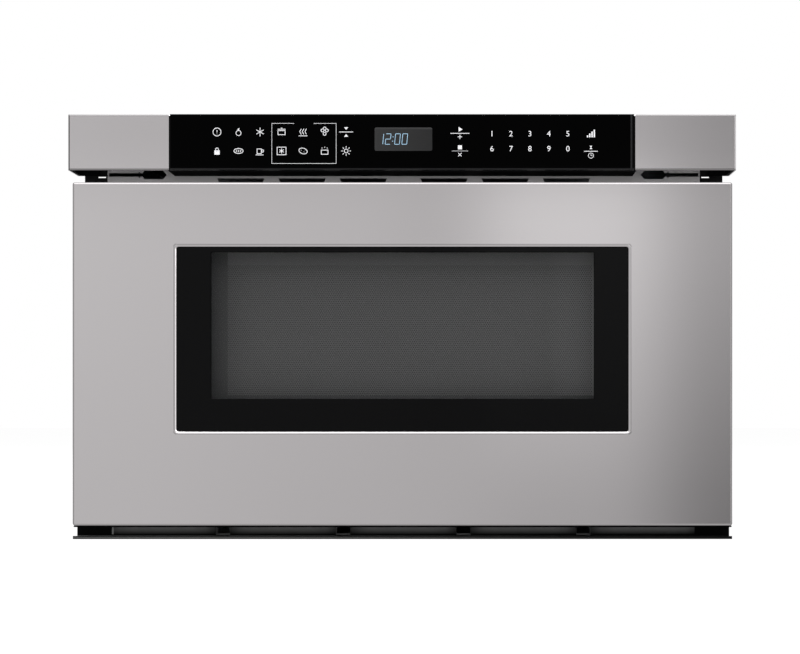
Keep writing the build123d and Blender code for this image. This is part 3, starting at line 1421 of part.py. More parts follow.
# Switches: two snap switches lying on the bracket, each with a round plunger hole in its front.
switch_length = 27.8
switch_height = 15.9
plunger_radius = 1.5
plunger_reach = 2.5             # plunger in front of the switch, released
plunger_travel = 2.0
plunger_depth = 8.0
plunger_gap = 0.3               # hook tip to plunger with the drawer shut
plunger_spare = 1.0             # bore left behind a pressed plunger
switch_overhang = 4.0           # switch beyond its plunger's axis
bracket_plate = 2.0
switch_left = hook_x - switch_overhang
switch_right = inner_half - bracket_plate
plunger_tip_y = hook_tip_y + plunger_gap
switch_y = plunger_tip_y + plunger_reach
with BuildPart() as interlock_switches:
    for hook_z in (hook_low_z, hook_high_z):
        with BuildSketch(side_plane(switch_left)):
            span(switch_y, switch_y + switch_length, hook_z - switch_height / 2, hook_z + switch_height / 2)
        extrude(amount=switch_right - switch_left)
        with BuildSketch(front_plane(switch_y)):
            with Locations((hook_x, hook_z)):
                Circle(plunger_radius + running_fit)
        extrude(amount=-plunger_depth, mode=Mode.SUBTRACT)
write(interlock_switches, "interlock_switches")


def plunger(hook_z, name):
    """One round switch plunger, part way into its switch."""
    with BuildPart() as pin:
        with BuildSketch(front_plane(plunger_tip_y)):
            with Locations((hook_x, hook_z)):
                Circle(plunger_radius)
        extrude(amount=-(plunger_reach + plunger_depth - plunger_travel - plunger_spare))
    write(pin, name)


plunger(hook_low_z, "plunger_lower")
plunger(hook_high_z, "plunger_upper")

# Interlock bracket: an angle on the chassis side that carries both switches.
bracket_end_margin = 4.0
bracket_side_margin = 6.0
bracket_end_y = switch_y + switch_length + bracket_end_margin
bracket_low_z = hook_low_z - switch_height / 2 - bracket_side_margin
bracket_high_z = hook_high_z + switch_height / 2 + bracket_side_margin
with BuildPart() as interlock_bracket:
    with BuildSketch(side_plane(switch_right)):
        span(wall_y, bracket_end_y, bracket_low_z, bracket_high_z)
    extrude(amount=inner_half - switch_right)
    with BuildSketch(side_plane(switch_left)):
        for hook_z in (hook_low_z, hook_high_z):
            shelf_z = hook_z - switch_height / 2
            span(switch_y, bracket_end_y, shelf_z - bracket_plate, shelf_z)
    extrude(amount=switch_right - switch_left)
write(interlock_bracket, "interlock_bracket")

# ==== control panel ====

# Panel frame: a moulded carrier, narrower where the glass drops to the full panel height.  Its wings inside
# the steel ends are open below, and behind except at their outer edge.
glass_half = 210.4
panel_glass = 4.0
end_gap = 1.2                   # glass edge to steel end
end_sheet = 1.0
end_setback = 1.5               # steel ends behind the glass face
carrier_wall = 2.4
wing_back_width = 19.0          # back wall at the outer edge of a wing
carrier_back_y = flange_y - 0.4
carrier_y = front_y + panel_glass
end_inner = glass_half + end_gap
panel_half = panel_width / 2
wing_half = panel_half - end_sheet - clearance
wing_high = overall_height - end_sheet - clearance
wing_y = front_y + end_setback + end_sheet + clearance
with BuildPart() as panel_frame:
    with BuildSketch(front_plane(carrier_back_y)):
        span(-wing_half, wing_half, panel_bottom, wing_high)
    extrude(amount=carrier_back_y - wing_y)
    with BuildSketch(front_plane(carrier_back_y)):
        span(-glass_half, glass_half, panel_bottom, overall_height)
    extrude(amount=carrier_back_y - carrier_y)
    with BuildSketch(front_plane(carrier_y)):
        span(-glass_half, glass_half, panel_bottom, overall_height)
    extrude(amount=carrier_y - wing_y + panel_glass, mode=Mode.SUBTRACT)
    with BuildSketch(front_plane(carrier_back_y - carrier_wall)):
        span(-glass_half + carrier_wall, glass_half - carrier_wall, panel_bottom + carrier_wall,
             overall_height - carrier_wall)
        for side in (-1, 1):
            with Locations((side * (glass_half + wing_half) / 2,
                            (panel_bottom + wing_high) / 2 - carrier_wall)):
                Rectangle(wing_half - glass_half - 2 * carrier_wall, wing_high - panel_bottom)
    extrude(amount=carrier_back_y - carrier_wall - front_y, mode=Mode.SUBTRACT)
    with BuildSketch(front_plane(carrier_back_y)):
        for side in (-1, 1):
            with Locations((side * (glass_half + carrier_wall + wing_half - wing_back_width) / 2,
                            (panel_bottom + wing_high) / 2 - carrier_wall)):
                Rectangle(wing_half - wing_back_width - glass_half - carrier_wall, wing_high - panel_bottom)
    extrude(amount=carrier_wall, mode=Mode.SUBTRACT)
write(panel_frame, "panel_frame")

# Touch glass with polished edges.
panel_glass_bevel = 0.8
with BuildPart() as touch_glass:
    with BuildSketch(front_plane(carrier_y)):
        span(-glass_half, glass_half, panel_bottom + clearance, overall_height)
    extrude(amount=panel_glass)
    chamfer(touch_glass.faces().sort_by(Axis.Y)[0].edges(), panel_glass_bevel)
write(touch_glass, "touch_glass")

# Steel ends: folded caps, open behind, below and towards the glass, with a countersunk hole in the side.
end_round = 1.5
screw_drop = 8.0
screw_setback = 7.0
screw_head = 3.4
countersink = 45.0              # degrees
end_y = front_y + end_setback
screw_y = carrier_back_y - screw_setback
screw_z = overall_height - screw_drop
with BuildPart() as panel_end_right:
    with BuildSketch(front_plane(carrier_back_y)):
        span(end_inner, panel_half, panel_bottom, overall_height)
    extrude(amount=carrier_back_y - end_y)
    outer_edges = panel_end_right.faces().sort_by(Axis.Y)[0].edges().sort_by(Axis.X)[1:]
    fillet(outer_edges, end_round)
    with BuildSketch(front_plane(carrier_back_y)):
        span(end_inner, panel_half - end_sheet, panel_bottom, overall_height - end_sheet)
    extrude(amount=carrier_back_y - end_y - end_sheet, mode=Mode.SUBTRACT)
    with BuildSketch(Plane(origin=(panel_half, screw_y, screw_z), x_dir=(0, 1, 0), z_dir=(-1, 0, 0))):
        disc(screw_head)
    extrude(amount=end_sheet, taper=countersink, mode=Mode.SUBTRACT)
with BuildPart() as panel_ends:
    add(panel_end_right.part)
    mirror(panel_end_right.part, about=Plane.YZ)
write(panel_ends, "panel_ends")

# Countersunk screws through the steel ends into the carrier.
with BuildPart() as panel_side_screws:
    for side in (-1, 1):
        head_plane = Plane(origin=(side * panel_half, screw_y, screw_z), x_dir=(0, 1, 0), z_dir=(-side, 0, 0))
        with BuildSketch(head_plane):
            disc(screw_head)
        extrude(amount=end_sheet, taper=countersink)
write(panel_side_screws, "panel_side_screws")

# Control board on four posts from the carrier's back, with relays behind it.
display_depth = 7.8
display_gap = 0.2
display_x = 1.3
display_half = 29.0
display_rise = 14.0
display_height = 27.0
display_low = panel_bottom + display_rise
display_high = display_low + display_height
board_half = 96.0
board_margin = 6.0
board_low = panel_bottom + board_margin
board_high = overall_height - board_margin
board_y = carrier_y + display_gap + display_depth
relay_depth = 13.0
relay_x = -20.0
relay_pitch = 26.0
relay_width = 18.0
relay_height = 15.0
relay_count = 4
with BuildPart() as control_board:
    with BuildSketch(front_plane(board_y + board_thickness)):
        span(-board_half, board_half, board_low, board_high)
    extrude(amount=board_thickness)
    with BuildSketch(front_plane(carrier_back_y - carrier_wall)):
        with Locations((0, (board_low + board_high) / 2)):
            with GridLocations(2 * (board_half - board_post_inset),
                               board_high - board_low - 2 * board_post_inset, 2, 2):
                RegularPolygon(board_post_radius, 6)
    extrude(amount=carrier_back_y - carrier_wall - board_y - board_thickness)
    with BuildSketch(front_plane(board_y + board_thickness)):
        with Locations((relay_x, (board_low + board_high) / 2)):
            with GridLocations(relay_pitch, 0, relay_count, 1):
                Rectangle(relay_width, relay_height)
    extrude(amount=-relay_depth)
write(control_board, "control_board")

with BuildPart() as display_module:
    with BuildSketch(front_plane(board_y)):
        span(display_x - display_half, display_x + display_half, display_low, display_high)
    extrude(amount=display_depth)
write(display_module, "display_module")
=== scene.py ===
import json
import math

import bpy
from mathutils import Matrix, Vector


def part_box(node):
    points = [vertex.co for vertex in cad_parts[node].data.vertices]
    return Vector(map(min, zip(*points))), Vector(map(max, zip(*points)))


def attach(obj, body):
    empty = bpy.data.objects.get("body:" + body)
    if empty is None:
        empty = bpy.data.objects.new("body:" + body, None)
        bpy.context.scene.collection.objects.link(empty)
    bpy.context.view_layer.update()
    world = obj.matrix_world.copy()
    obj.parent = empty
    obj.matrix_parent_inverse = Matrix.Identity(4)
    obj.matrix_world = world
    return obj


bl_info = {
    "name": "Microwave Drawer Finish",
    "version": (1, 0, 0),
    "blender": (4, 5, 0),
    "location": "View3D > Sidebar > Drawer",
    "description": "Key legends, fasteners, finishes and a studio for a built-in microwave drawer",
    "category": "Object",
}

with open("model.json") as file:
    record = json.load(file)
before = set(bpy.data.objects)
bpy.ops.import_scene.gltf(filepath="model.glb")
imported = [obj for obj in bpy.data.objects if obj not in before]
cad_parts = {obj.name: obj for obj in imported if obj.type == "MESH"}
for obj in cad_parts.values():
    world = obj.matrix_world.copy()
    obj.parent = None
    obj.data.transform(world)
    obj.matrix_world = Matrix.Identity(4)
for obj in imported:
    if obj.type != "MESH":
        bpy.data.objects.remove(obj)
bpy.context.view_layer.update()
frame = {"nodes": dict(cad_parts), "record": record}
GLASS_LOW, GLASS_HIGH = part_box("touch_glass")
DOOR_LOW, DOOR_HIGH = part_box("door_skin")
ENDS_LOW, ENDS_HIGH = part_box("panel_ends")
WINDOW_LOW, WINDOW_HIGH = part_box("door_glass")
SCREEN_LOW, SCREEN_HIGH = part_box("door_screen")
DISPLAY_LOW, DISPLAY_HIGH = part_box("display_module")
BACK_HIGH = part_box("back_plate")[1]
SIDE_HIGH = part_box("side_panel_right")[1]
ARM_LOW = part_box("support_arms")[0]
MM = 0.001
BRUSH = (9.0, 9.0, 2600.0)  # stretch of the front's brush lines, finest from top to bottom
FACING = (math.pi / 2, 0, 0)  # turn of a flat piece that faces the viewer
BLACK = (0, 0, 0)
WHITE = (1, 1, 1, 1)

# Tones of the front card over the front's width, as (share of the width, tone).
FRONT_SPAN = 0.7
DOOR_TOP_BANDS = ((0.0, 0.725), (0.096, 0.72), (0.270, 0.68), (0.456, 0.66), (0.520, 0.585),
                  (0.560, 0.565), (0.600, 0.70), (0.640, 0.93), (0.810, 0.95), (0.845, 0.66),
                  (0.880, 0.51), (0.930, 0.49), (1.0, 0.48))
DOOR_FOOT_BANDS = ((0.0, 0.64), (0.174, 0.63), (0.363, 0.585), (0.549, 0.555), (0.611, 0.52),
                   (0.673, 0.48), (0.797, 0.49), (0.830, 0.38), (0.870, 0.26), (0.917, 0.21),
                   (1.0, 0.20))
PANEL_BANDS = ((0.0, 0.615), (0.15, 0.58), (0.50, 0.52), (0.800, 0.52), (0.84, 0.445), (0.90, 0.35),
               (1.0, 0.33))


# ---- sizes and colours that a user would change ----

def tint(name, note, value):
    """A colour setting."""
    return bpy.props.FloatVectorProperty(name=name, description=note, subtype="COLOR", size=3,
                                         default=value, min=0, max=1)


def length(name, note, value):
    """A length setting, in metres."""
    return bpy.props.FloatProperty(name=name, description=note, subtype="DISTANCE", unit="LENGTH",
                                   default=value)


def degree(name, note, value):
    """A setting from 0 to 1."""
    return bpy.props.FloatProperty(name=name, description=note, subtype="FACTOR", default=value,
                                   min=0, max=1)


class LegendSettings(bpy.types.PropertyGroup):
    ink: tint("Ink", "Colour of the printed legends", (0.80, 0.80, 0.82))
    lit: tint("Lit figures", "Colour of the clock figures", (0.26, 0.42, 0.55))
    figure_height: length("Key figure height", "Height of the number keys' figures", 5.2 * MM)
    figure_pitch: length("Key figure pitch", "Space from one number key to the next", 17.2 * MM)
    sign_height: length("Sign height", "Height of the picture signs", 7.8 * MM)
    clock_height: length("Clock figure height", "Height of the lit clock figures", 9.5 * MM)
    line_width: length("Printed line", "Width of the thin printed lines", 0.55 * MM)
    ink_thickness: length("Ink thickness", "How far the print stands on the glass", 0.04 * MM)


class FinishSettings(bpy.types.PropertyGroup):
    steel: tint("Front steel", "Colour of the brushed steel front", (0.712, 0.684, 0.692))
    steel_roughness: degree("Front steel roughness", "How soft the front's reflections are", 0.14)
    window_cover: degree("Window tint", "How much the clear part of the window hides", 0.22)
    hole_pitch: length("Screen hole pitch", "Space between the screen's holes", 2.05 * MM)


class StudioSettings(bpy.types.PropertyGroup):
    camera_distance: length("Camera distance", "Camera to the panel's face", 1.4)
    frame_width: length("Frame width", "Width that the picture takes in at the panel's face", 0.7248)
    view_centre: bpy.props.FloatVectorProperty(
        name="View centre", description="Point of the panel's plane in the picture's middle",
        subtype="XYZ", size=2, default=(-0.0018, 0.1930))
    camera_drop: length("Camera drop", "Camera below the picture's middle, made up by shift", 0.072)
    camera_aside: length("Camera aside", "Camera right of the picture's middle, made up by shift", 0.06)
    lamp_power: bpy.props.FloatProperty(
        name="Lamp power", description="Share of the studio lamps' usual power", default=1.0, min=0)


# ---- wiring of materials ----

class Value:
    """A shader socket that adds Math nodes when it is used in an expression."""

    def __init__(self, wiring, socket):
        self.wiring = wiring
        self.socket = socket

    def math(self, operation, *others):
        """One Math node on this value and the others."""
        return self.wiring.value("ShaderNodeMath", dict(enumerate((self,) + others)), operation=operation)

    def __add__(self, other):
        return self.math("ADD", other)

    def __sub__(self, other):
        return self.math("SUBTRACT", other)

    def __rsub__(self, other):
        return self.wiring.value("ShaderNodeMath", {0: other, 1: self}, operation="SUBTRACT")

    def __mul__(self, other):
        return self.math("MULTIPLY", other)

    def __truediv__(self, other):
        return self.math("DIVIDE", other)

    def __abs__(self):
        return self.math("ABSOLUTE")

    def __lt__(self, other):
        return self.math("LESS_THAN", other)

    def __gt__(self, other):
        return self.math("GREATER_THAN", other)

    def __mod__(self, other):
        return self.math("FLOORED_MODULO", other)

    __radd__ = __add__
    __rmul__ = __mul__

    def between(self, low, high):
        """1 where the value lies between the two ends, 0 elsewhere."""
        return (self > low) * (self < high)


class Wiring:
    """The nodes of a material or of the world, while they are wired."""

    def __init__(self, tree):
        self.nodes = tree.nodes
        self.links = tree.links

    def value(self, kind, sockets=None, output=0, **settings):
        """One output of a new node, whose settings are made first and then its sockets set or linked."""
        made = self.nodes.new(kind)
        for key, value in settings.items():
            if key == "stops":
                ramp = made.color_ramp
                while len(ramp.elements) < len(value):
                    ramp.elements.new(0.5)
                for element, (position, tone) in zip(ramp.elements, value):
                    element.position = position
                    element.color = (tone, tone, tone, 1)
            else:
                setattr(made, key, value)
        for key, value in (sockets or {}).items():
            self.feed(made.inputs[key], value)
        return Value(self, made.outputs[output])

    def feed(self, socket, value):
        """Link a value to a socket, or set a plain number or colour on it."""
        if isinstance(value, Value):
            self.links.new(value.socket, socket)
        else:
            socket.default_value = value


class Finish(Wiring):
    """A material: its Principled shader and the nodes that feed it."""

    def __init__(self, name, colour, roughness, metallic=0.0):
        self.material = bpy.data.materials.new(name)
        self.material.use_nodes = True
        super().__init__(self.material.node_tree)
        self.surface = self.nodes["Principled BSDF"]
        self.place = self.value("ShaderNodeTexCoord", output="Object")
        self.set(Base_Color=(*colour, 1), Roughness=roughness, Metallic=metallic)
        self.colour = colour
        self.roughness = roughness

    def set(self, **sockets):
        """Set the shader's own sockets, named with underscores, and give back the material."""
        for key, value in sockets.items():
            self.feed(self.surface.inputs[key.replace("_", " ")], value)
        return self.material

    def shown(self, shader):
        """The material, with this shader's output as its surface."""
        self.feed(self.nodes["Material Output"].inputs["Surface"], shader)
        return self.material

    def glow(self, colour, strength):
        """The output of a plain light."""
        return self.value("ShaderNodeEmission", {"Color": colour, "Strength": strength})

    def axis(self, name):
        """One of the object's own coordinates, in metres."""
        return self.value("ShaderNodeSeparateXYZ", {0: self.place}, name)

    def stretched(self, stretch):
        """The object's place, with each axis scaled by its own amount if a stretch is given."""
        if stretch is None:
            return self.place
        return self.value("ShaderNodeVectorMath", {0: self.place, 1: stretch}, operation="MULTIPLY")

    def noise(self, scale, detail, roughness=0.5, stretch=None):
        """Cloudy noise from 0 to 1 on the object's place."""
        return self.value("ShaderNodeTexNoise", {"Vector": self.stretched(stretch), "Scale": scale,
                                                 "Detail": detail, "Roughness": roughness})

    def cells(self, scale, feature="F1", stretch=None, output="Distance"):
        """Cell pattern on the object's place."""
        return self.value("ShaderNodeTexVoronoi", {"Vector": self.stretched(stretch), "Scale": scale},
                          output, feature=feature)

    def crystals(self, scale):
        """Cells that each have an even tone of their own."""
        return self.value("ShaderNodeSeparateColor", {0: self.cells(scale, output="Color")})

    def ramp(self, value, *stops):
        """A grey ramp through (position, tone) stops, or straight from 0 to 1."""
        return self.value("ShaderNodeValToRGB", {0: value}, stops=stops or ((0.0, 0.0), (1.0, 1.0)))

    def mix(self, share, first, second):
        """Mixed colour of two colours or values."""
        ends = [colour if isinstance(colour, Value) else (*colour, 1) for colour in (first, second)]
        return self.value("ShaderNodeMix", {0: share, 6: ends[0], 7: ends[1]}, 2, data_type="RGBA")

    def varied(self, share, dark, light):
        """The colour between a darker and a lighter tone of itself."""
        low = [channel * dark for channel in self.colour]
        high = [min(1.0, channel * light) for channel in self.colour]
        return self.mix(share, low, high)

    def tones(self, share, dark, light):
        """Base colour that varies between a darker and a lighter tone of itself."""
        self.set(Base_Color=self.varied(share, dark, light))

    def painted_edge_shade(self, colour, back, bands):
        """Painted shade: a colour made darker in front of back, in bands of (axis, low end, high end, tone).
        """
        front = self.axis("Y") < back
        shade = None
        for axis, low, high, tone in bands:
            band = self.axis(axis).between(low, high) * (1 - tone)
            shade = band if shade is None else shade.math("MAXIMUM", band)
        return self.mix(shade * front, colour, BLACK)

    def rough(self, share, spread):
        """Roughness that varies by spread about its middle."""
        return self.set(Roughness=share * spread + (self.roughness - spread / 2))

    def wear_and_painted_light(self, cloud, dark, light, spread):
        """Colour and roughness that vary together."""
        self.tones(cloud, dark, light)
        self.rough(cloud, spread)

    def grained(self, scale, depth, strength=1.0):
        """Fine even grain on the surface."""
        return self.bump(self.noise(scale, 2.0), depth, strength)

    def bump(self, height, depth, strength=1.0):
        """Relief of this depth in metres."""
        return self.set(Normal=self.value("ShaderNodeBump", {"Height": height, "Distance": depth,
                                                             "Strength": strength}))


def brushed_steel(name, colour, roughness, stretch=BRUSH, back=0.0, bands=()):
    """Steel with fine brush lines, close along the axis that is stretched most, and painted shade in bands
    where bands are given.
    """
    finish = Finish(name, colour, roughness, 1.0)
    lines = finish.noise(1.0, 5.0, 0.65, stretch)
    clouds = finish.noise(7.0, 2.0)
    brushed = finish.varied(lines * 0.6 + clouds * 0.4, 0.985, 1.015)
    finish.set(Base_Color=finish.painted_edge_shade(brushed, back, bands) if bands else brushed)
    finish.rough(lines, 0.05)
    return finish.bump(lines, 2e-6)


def zinc_sheet(name, colour, roughness, grain=150.0):
    """Zinc-coated sheet with a faint crystal pattern and handling marks."""
    finish = Finish(name, colour, roughness, 1.0)
    finish.wear_and_painted_light(finish.crystals(grain) * 0.5 + finish.noise(14.0, 4.0) * 0.5, 0.92, 1.05, 0.16)
    return finish.grained(600.0, 1e-5, 0.5)


def painted(name, colour, roughness, grain=900.0, depth=2.5e-5, coat=0.0, shine=0.35):
    """Stoved paint or powder coat with a fine orange-peel surface."""
    finish = Finish(name, colour, roughness)
    cloud = finish.noise(9.0, 3.0)
    peel = finish.noise(grain, 2.0)
    finish.tones(cloud, 0.88, 1.12)
    finish.rough(peel * 0.5 + cloud * 0.5, 0.14)
    finish.bump(peel, depth)
    return finish.set(Specular_IOR_Level=shine, Coat_Weight=coat, Coat_Roughness=0.25)


def moulded(name, colour, roughness, shine=0.4):
    """Moulded plastic with spark-eroded grain and faint flow marks."""
    finish = Finish(name, colour, roughness)
    finish.set(Specular_IOR_Level=shine)
    flow = finish.noise(1.0, 2.0, stretch=(3, 3, 14))
    pits = finish.cells(1600.0)
    finish.tones(flow, 0.90, 1.10)
    finish.rough(pits, 0.12)
    return finish.bump(pits, 1.5e-5)


def trim_paint():
    """Black paint of the intake trim: painted reflection on the web between dull ends, painted shade beside
    the vents, and painted highlights at the web's left end and along the lip.
    """
    finish = Finish("black_trim_paint", (0.0015, 0.0015, 0.0017), 0.40)
    finish.set(Specular_IOR_Level=0.04)
    across, up = finish.axis("X"), finish.axis("Z")
    painted_sheen_half = 269 * MM
    painted_sheen_low, painted_sheen_high = 2.9 * MM, 10.3 * MM
    painted_sheen_area = (abs(across) < painted_sheen_half) * up.between(painted_sheen_low, painted_sheen_high)
    # painted reflection: the web's colour rises from dark at its foot to bright near its top
    rise = finish.ramp((up - painted_sheen_low) / (painted_sheen_high - painted_sheen_low), (0.0, 0.012), (0.12, 0.040),
                       (0.30, 0.105), (0.50, 0.165), (0.85, 0.250), (1.0, 0.16))
    # painted shade: the web darkens near each vent
    vent_pitch = 111 * MM
    from_vent = abs((across / vent_pitch) % 1.0 - 0.5) * vent_pitch
    beside = finish.ramp(from_vent / (40 * MM), (0.15, 0.25), (0.40, 0.80), (0.70, 1.0))
    web = finish.mix(painted_sheen_area, finish.colour, finish.mix(beside, BLACK, rise))
    # painted highlight: a light line at the web's left end
    fold = across.between(-painted_sheen_half, -painted_sheen_half + 1.6 * MM) * painted_sheen_area
    web_and_painted_highlight = finish.mix(fold, web, (0.42, 0.42, 0.42))
    # painted highlight: a lighter line along the lip, fading towards the right
    painted_lip_highlight = up.between(1.3 * MM, 1.85 * MM)
    painted_lip_tone = finish.ramp(across / 0.6 + 0.5, (0.0, 0.17), (0.35, 0.13), (0.55, 0.085), (0.75, 0.035),
                           (1.0, 0.012))
    finish.set(Base_Color=finish.mix(painted_lip_highlight, web_and_painted_highlight, painted_lip_tone))
    return finish.rough(finish.noise(900.0, 2.0), 0.14)


def nylon(name, colour):
    """Natural nylon: waxy, slightly uneven."""
    finish = Finish(name, colour, 0.42)
    finish.wear_and_painted_light(finish.noise(60.0, 4.0), 0.90, 1.06, 0.15)
    finish.grained(700.0, 2e-5)
    return finish.set(Subsurface_Weight=0.15, Subsurface_Scale=0.002)


def panel_glass():
    """Black printed touch glass: smoked display window with a painted highlight along its top, painted
    highlights along the glass's right edge and foot, and faint finger marks.
    """
    finish = Finish("printed_touch_glass", (0.0002, 0.0002, 0.00025), 0.05)
    centre_x = (DISPLAY_LOW.x + DISPLAY_HIGH.x) / 2
    centre_z = (DISPLAY_LOW.z + DISPLAY_HIGH.z) / 2 + 0.4 * MM
    half_x, half_z, corner = 26.1 * MM, 10.6 * MM, 1.6 * MM
    across, up = finish.axis("X"), finish.axis("Z")
    past_x = (abs(across - centre_x) - (half_x - corner)).math("MAXIMUM", 0.0)
    past_z = (abs(up - centre_z) - (half_z - corner)).math("MAXIMUM", 0.0)
    inside = past_x * past_x + past_z * past_z < corner * corner
    # the smoked window's tone, darker towards the right
    along = finish.ramp((across - centre_x) / (2 * half_x) + 0.5)
    smoke = finish.mix(along, (0.0405, 0.0408, 0.0412), (0.0285, 0.0285, 0.0290))
    # painted highlight along the top of the display window
    painted_top_highlight = finish.mix(up > centre_z + half_z - 1.6 * MM, smoke, (0.052, 0.052, 0.053))
    # painted highlights: lighter lines near the glass's right edge and along its foot
    painted_right_highlight = across.between(GLASS_HIGH.x - 3.3 * MM, GLASS_HIGH.x - 1.7 * MM)
    foot = (up < GLASS_LOW.z + 1.4 * MM) * 0.75
    edges = finish.mix(painted_right_highlight.math("MAXIMUM", foot), finish.colour, (0.022, 0.022, 0.023))
    marks = finish.noise(35.0, 5.0, 0.6)
    finish.set(Base_Color=finish.mix(inside, edges, painted_top_highlight))
    return finish.set(Roughness=marks * 0.05 + 0.03, Specular_IOR_Level=0.03)


def window_glass(cover):
    """Door glass, printed black round a smoked clear window."""
    finish = Finish("printed_window_glass", (0.0016, 0.0016, 0.0018), 0.04)
    margin = 8 * MM
    clear_half = SCREEN_HIGH.x - margin
    inside_x = abs(finish.axis("X")) < clear_half
    inside = inside_x * finish.axis("Z").between(SCREEN_LOW.z + margin, SCREEN_HIGH.z - margin)
    marks = finish.noise(22.0, 5.0, 0.6)
    finish.set(Base_Color=finish.mix(inside, finish.colour, (0.012, 0.0125, 0.013)))
    return finish.set(Alpha=1 - inside * (1 - cover), Roughness=marks * 0.04 + 0.02, Specular_IOR_Level=0.10)


def perforated_screen(pitch):
    """Grey-coated screen with rows of fine holes inside a plain border, with painted shade at its left and
    foot and painted light towards its right.
    """
    finish = Finish("perforated_screen", (0.184, 0.184, 0.185), 0.5)
    left, right, under, over = 20 * MM, 8 * MM, 11 * MM, 18 * MM  # widths of the border
    across, up = finish.axis("X"), finish.axis("Z")
    dots = None
    for shift in (0.0, 0.5):
        column = (across / pitch + shift) % 1.0 - 0.5
        row = (up / (pitch * 0.866 * 2) + shift) % 1.0 - 0.5
        hole = column * column + row * row * 3.0 < 0.085
        dots = hole if dots is None else dots + hole
    # painted shade: the border at the left and foot is darker than the rest
    lit = (across > SCREEN_LOW.x + left) * (up > SCREEN_LOW.z + under)
    field = lit * (across < SCREEN_HIGH.x - right) * (up < SCREEN_HIGH.z - over)
    # painted light: lighter towards the right edge
    painted_light_ramp = finish.ramp((across - SCREEN_HIGH.x) / (50 * MM) + 1.0, (0.0, 0.0), (0.85, 1.0))
    wear_and_painted_light = finish.mix(painted_light_ramp, finish.colour, (0.285, 0.285, 0.287))
    painted_shade_and_light = finish.mix(lit, (0.105, 0.106, 0.108), wear_and_painted_light)
    finish.set(Base_Color=finish.mix(dots * field * 0.8, painted_shade_and_light, (0.04, 0.04, 0.04)))
    return finish.rough(finish.noise(12.0, 3.0), 0.15)


def ceramic_plate():
    """Pale glass-ceramic floor with fine flecks."""
    finish = Finish("glass_ceramic", (0.80, 0.79, 0.76), 0.16)
    flecks = finish.cells(420.0) < 0.16
    cloud = finish.noise(18.0, 3.0)
    finish.set(Base_Color=finish.mix(flecks * cloud, finish.colour, (0.50, 0.48, 0.44)))
    finish.rough(cloud, 0.10)
    return finish.set(Coat_Weight=0.5, Coat_Roughness=0.08)


def cavity_enamel():
    """Grey baked cavity paint with a fine speckle."""
    finish = Finish("cavity_enamel", (0.36, 0.365, 0.37), 0.38)
    speckle = finish.cells(700.0) < 0.22
    cloud = finish.noise(6.0, 3.0)
    shade = finish.mix(cloud, (0.32, 0.325, 0.33), (0.40, 0.405, 0.41))
    finish.set(Base_Color=finish.mix(speckle * 0.7, shade, (0.16, 0.165, 0.17)))
    finish.rough(cloud, 0.12)
    return finish.grained(800.0, 2e-5)


def mica_sheet():
    """Pressed mica with small glinting flakes."""
    finish = Finish("pressed_mica", (0.56, 0.51, 0.40), 0.42)
    flake = finish.crystals(260.0)
    finish.wear_and_painted_light(flake, 0.72, 1.18, 0.30)
    return finish.bump(flake, 2e-5)


def laminations():
    """Stacked iron sheets under varnish."""
    finish = Finish("varnished_laminations", (0.16, 0.155, 0.15), 0.42, 0.6)
    stack = abs((finish.axis("Y") * 1400.0) % 1.0 - 0.5) * 2.0
    rust = finish.noise(60.0, 5.0)
    finish.set(Base_Color=finish.mix(rust * 0.5, (0.17, 0.165, 0.16), (0.20, 0.13, 0.09)))
    finish.rough(rust, 0.2)
    return finish.bump(stack, 6e-5)


def copper_winding():
    """Close layers of enamelled wire laid round the core."""
    finish = Finish("enamelled_copper", (0.62, 0.27, 0.12), 0.30, 1.0)
    wire = abs((finish.axis("Z") * 900.0) % 1.0 - 0.5) * 2.0
    cloud = finish.noise(40.0, 4.0)
    # painted shade where the turns of wire meet, and painted highlight along the middle of each turn
    finish.tones(wire * 0.6 + cloud * 0.4, 1.10, 0.55)
    finish.rough(cloud, 0.15)
    return finish.bump(1 - wire, 2e-4)


def circuit_board():
    """Green board with tracks and bare spots of solder on its face."""
    finish = Finish("circuit_board", (0.02, 0.11, 0.05), 0.36)
    tracks = finish.cells(170.0, "DISTANCE_TO_EDGE", (1.0, 0.2, 1.0)) < 0.05
    bare = finish.cells(320.0) < 0.10
    green = finish.mix(tracks, finish.colour, (0.05, 0.20, 0.09))
    finish.set(Base_Color=finish.mix(bare, green, (0.55, 0.50, 0.35)))
    finish.rough(finish.noise(30.0, 3.0), 0.15)
    return finish.bump(tracks, 3e-5)


def rubber():
    """Matt black rubber."""
    finish = Finish("moulded_rubber", (0.018, 0.018, 0.018), 0.72)
    finish.wear_and_painted_light(finish.noise(90.0, 4.0), 0.8, 1.4, 0.12)
    return finish.grained(1500.0, 2e-5)


def lamp_glass():
    """Frosted lamp glass, warm inside."""
    finish = Finish("lamp_glass", (0.90, 0.87, 0.78), 0.22)
    cloud = finish.noise(120.0, 3.0)
    finish.wear_and_painted_light(cloud, 0.94, 1.04, 0.12)
    return finish.set(Alpha=cloud * 0.2 + 0.65)


def printed_ink(colour):
    """Screen-printed ink, a little uneven, with a faint painted glow."""
    finish = Finish("printed_ink", colour, 0.5)
    finish.wear_and_painted_light(finish.noise(900.0, 2.0), 0.92, 1.04, 0.1)
    # painted glow: the ink gives off light though it is no lamp
    return finish.set(Emission_Color=(*colour, 1), Emission_Strength=0.25)


def lit_figures(colour):
    """Lit clock figures, their glow a little uneven at random."""
    finish = Finish("lit_figures", colour, 0.4)
    cloud = finish.noise(700.0, 2.0)
    glow = finish.mix(cloud, [channel * 0.75 for channel in colour], colour)
    return finish.set(Emission_Color=glow, Emission_Strength=0.7)


def display_face():
    """Smoked face of the clock module."""
    finish = Finish("display_face", (0.045, 0.048, 0.052), 0.25)
    finish.tones(finish.noise(60.0, 3.0), 0.85, 1.15)
    return finish.rough(finish.noise(200.0, 2.0), 0.08)


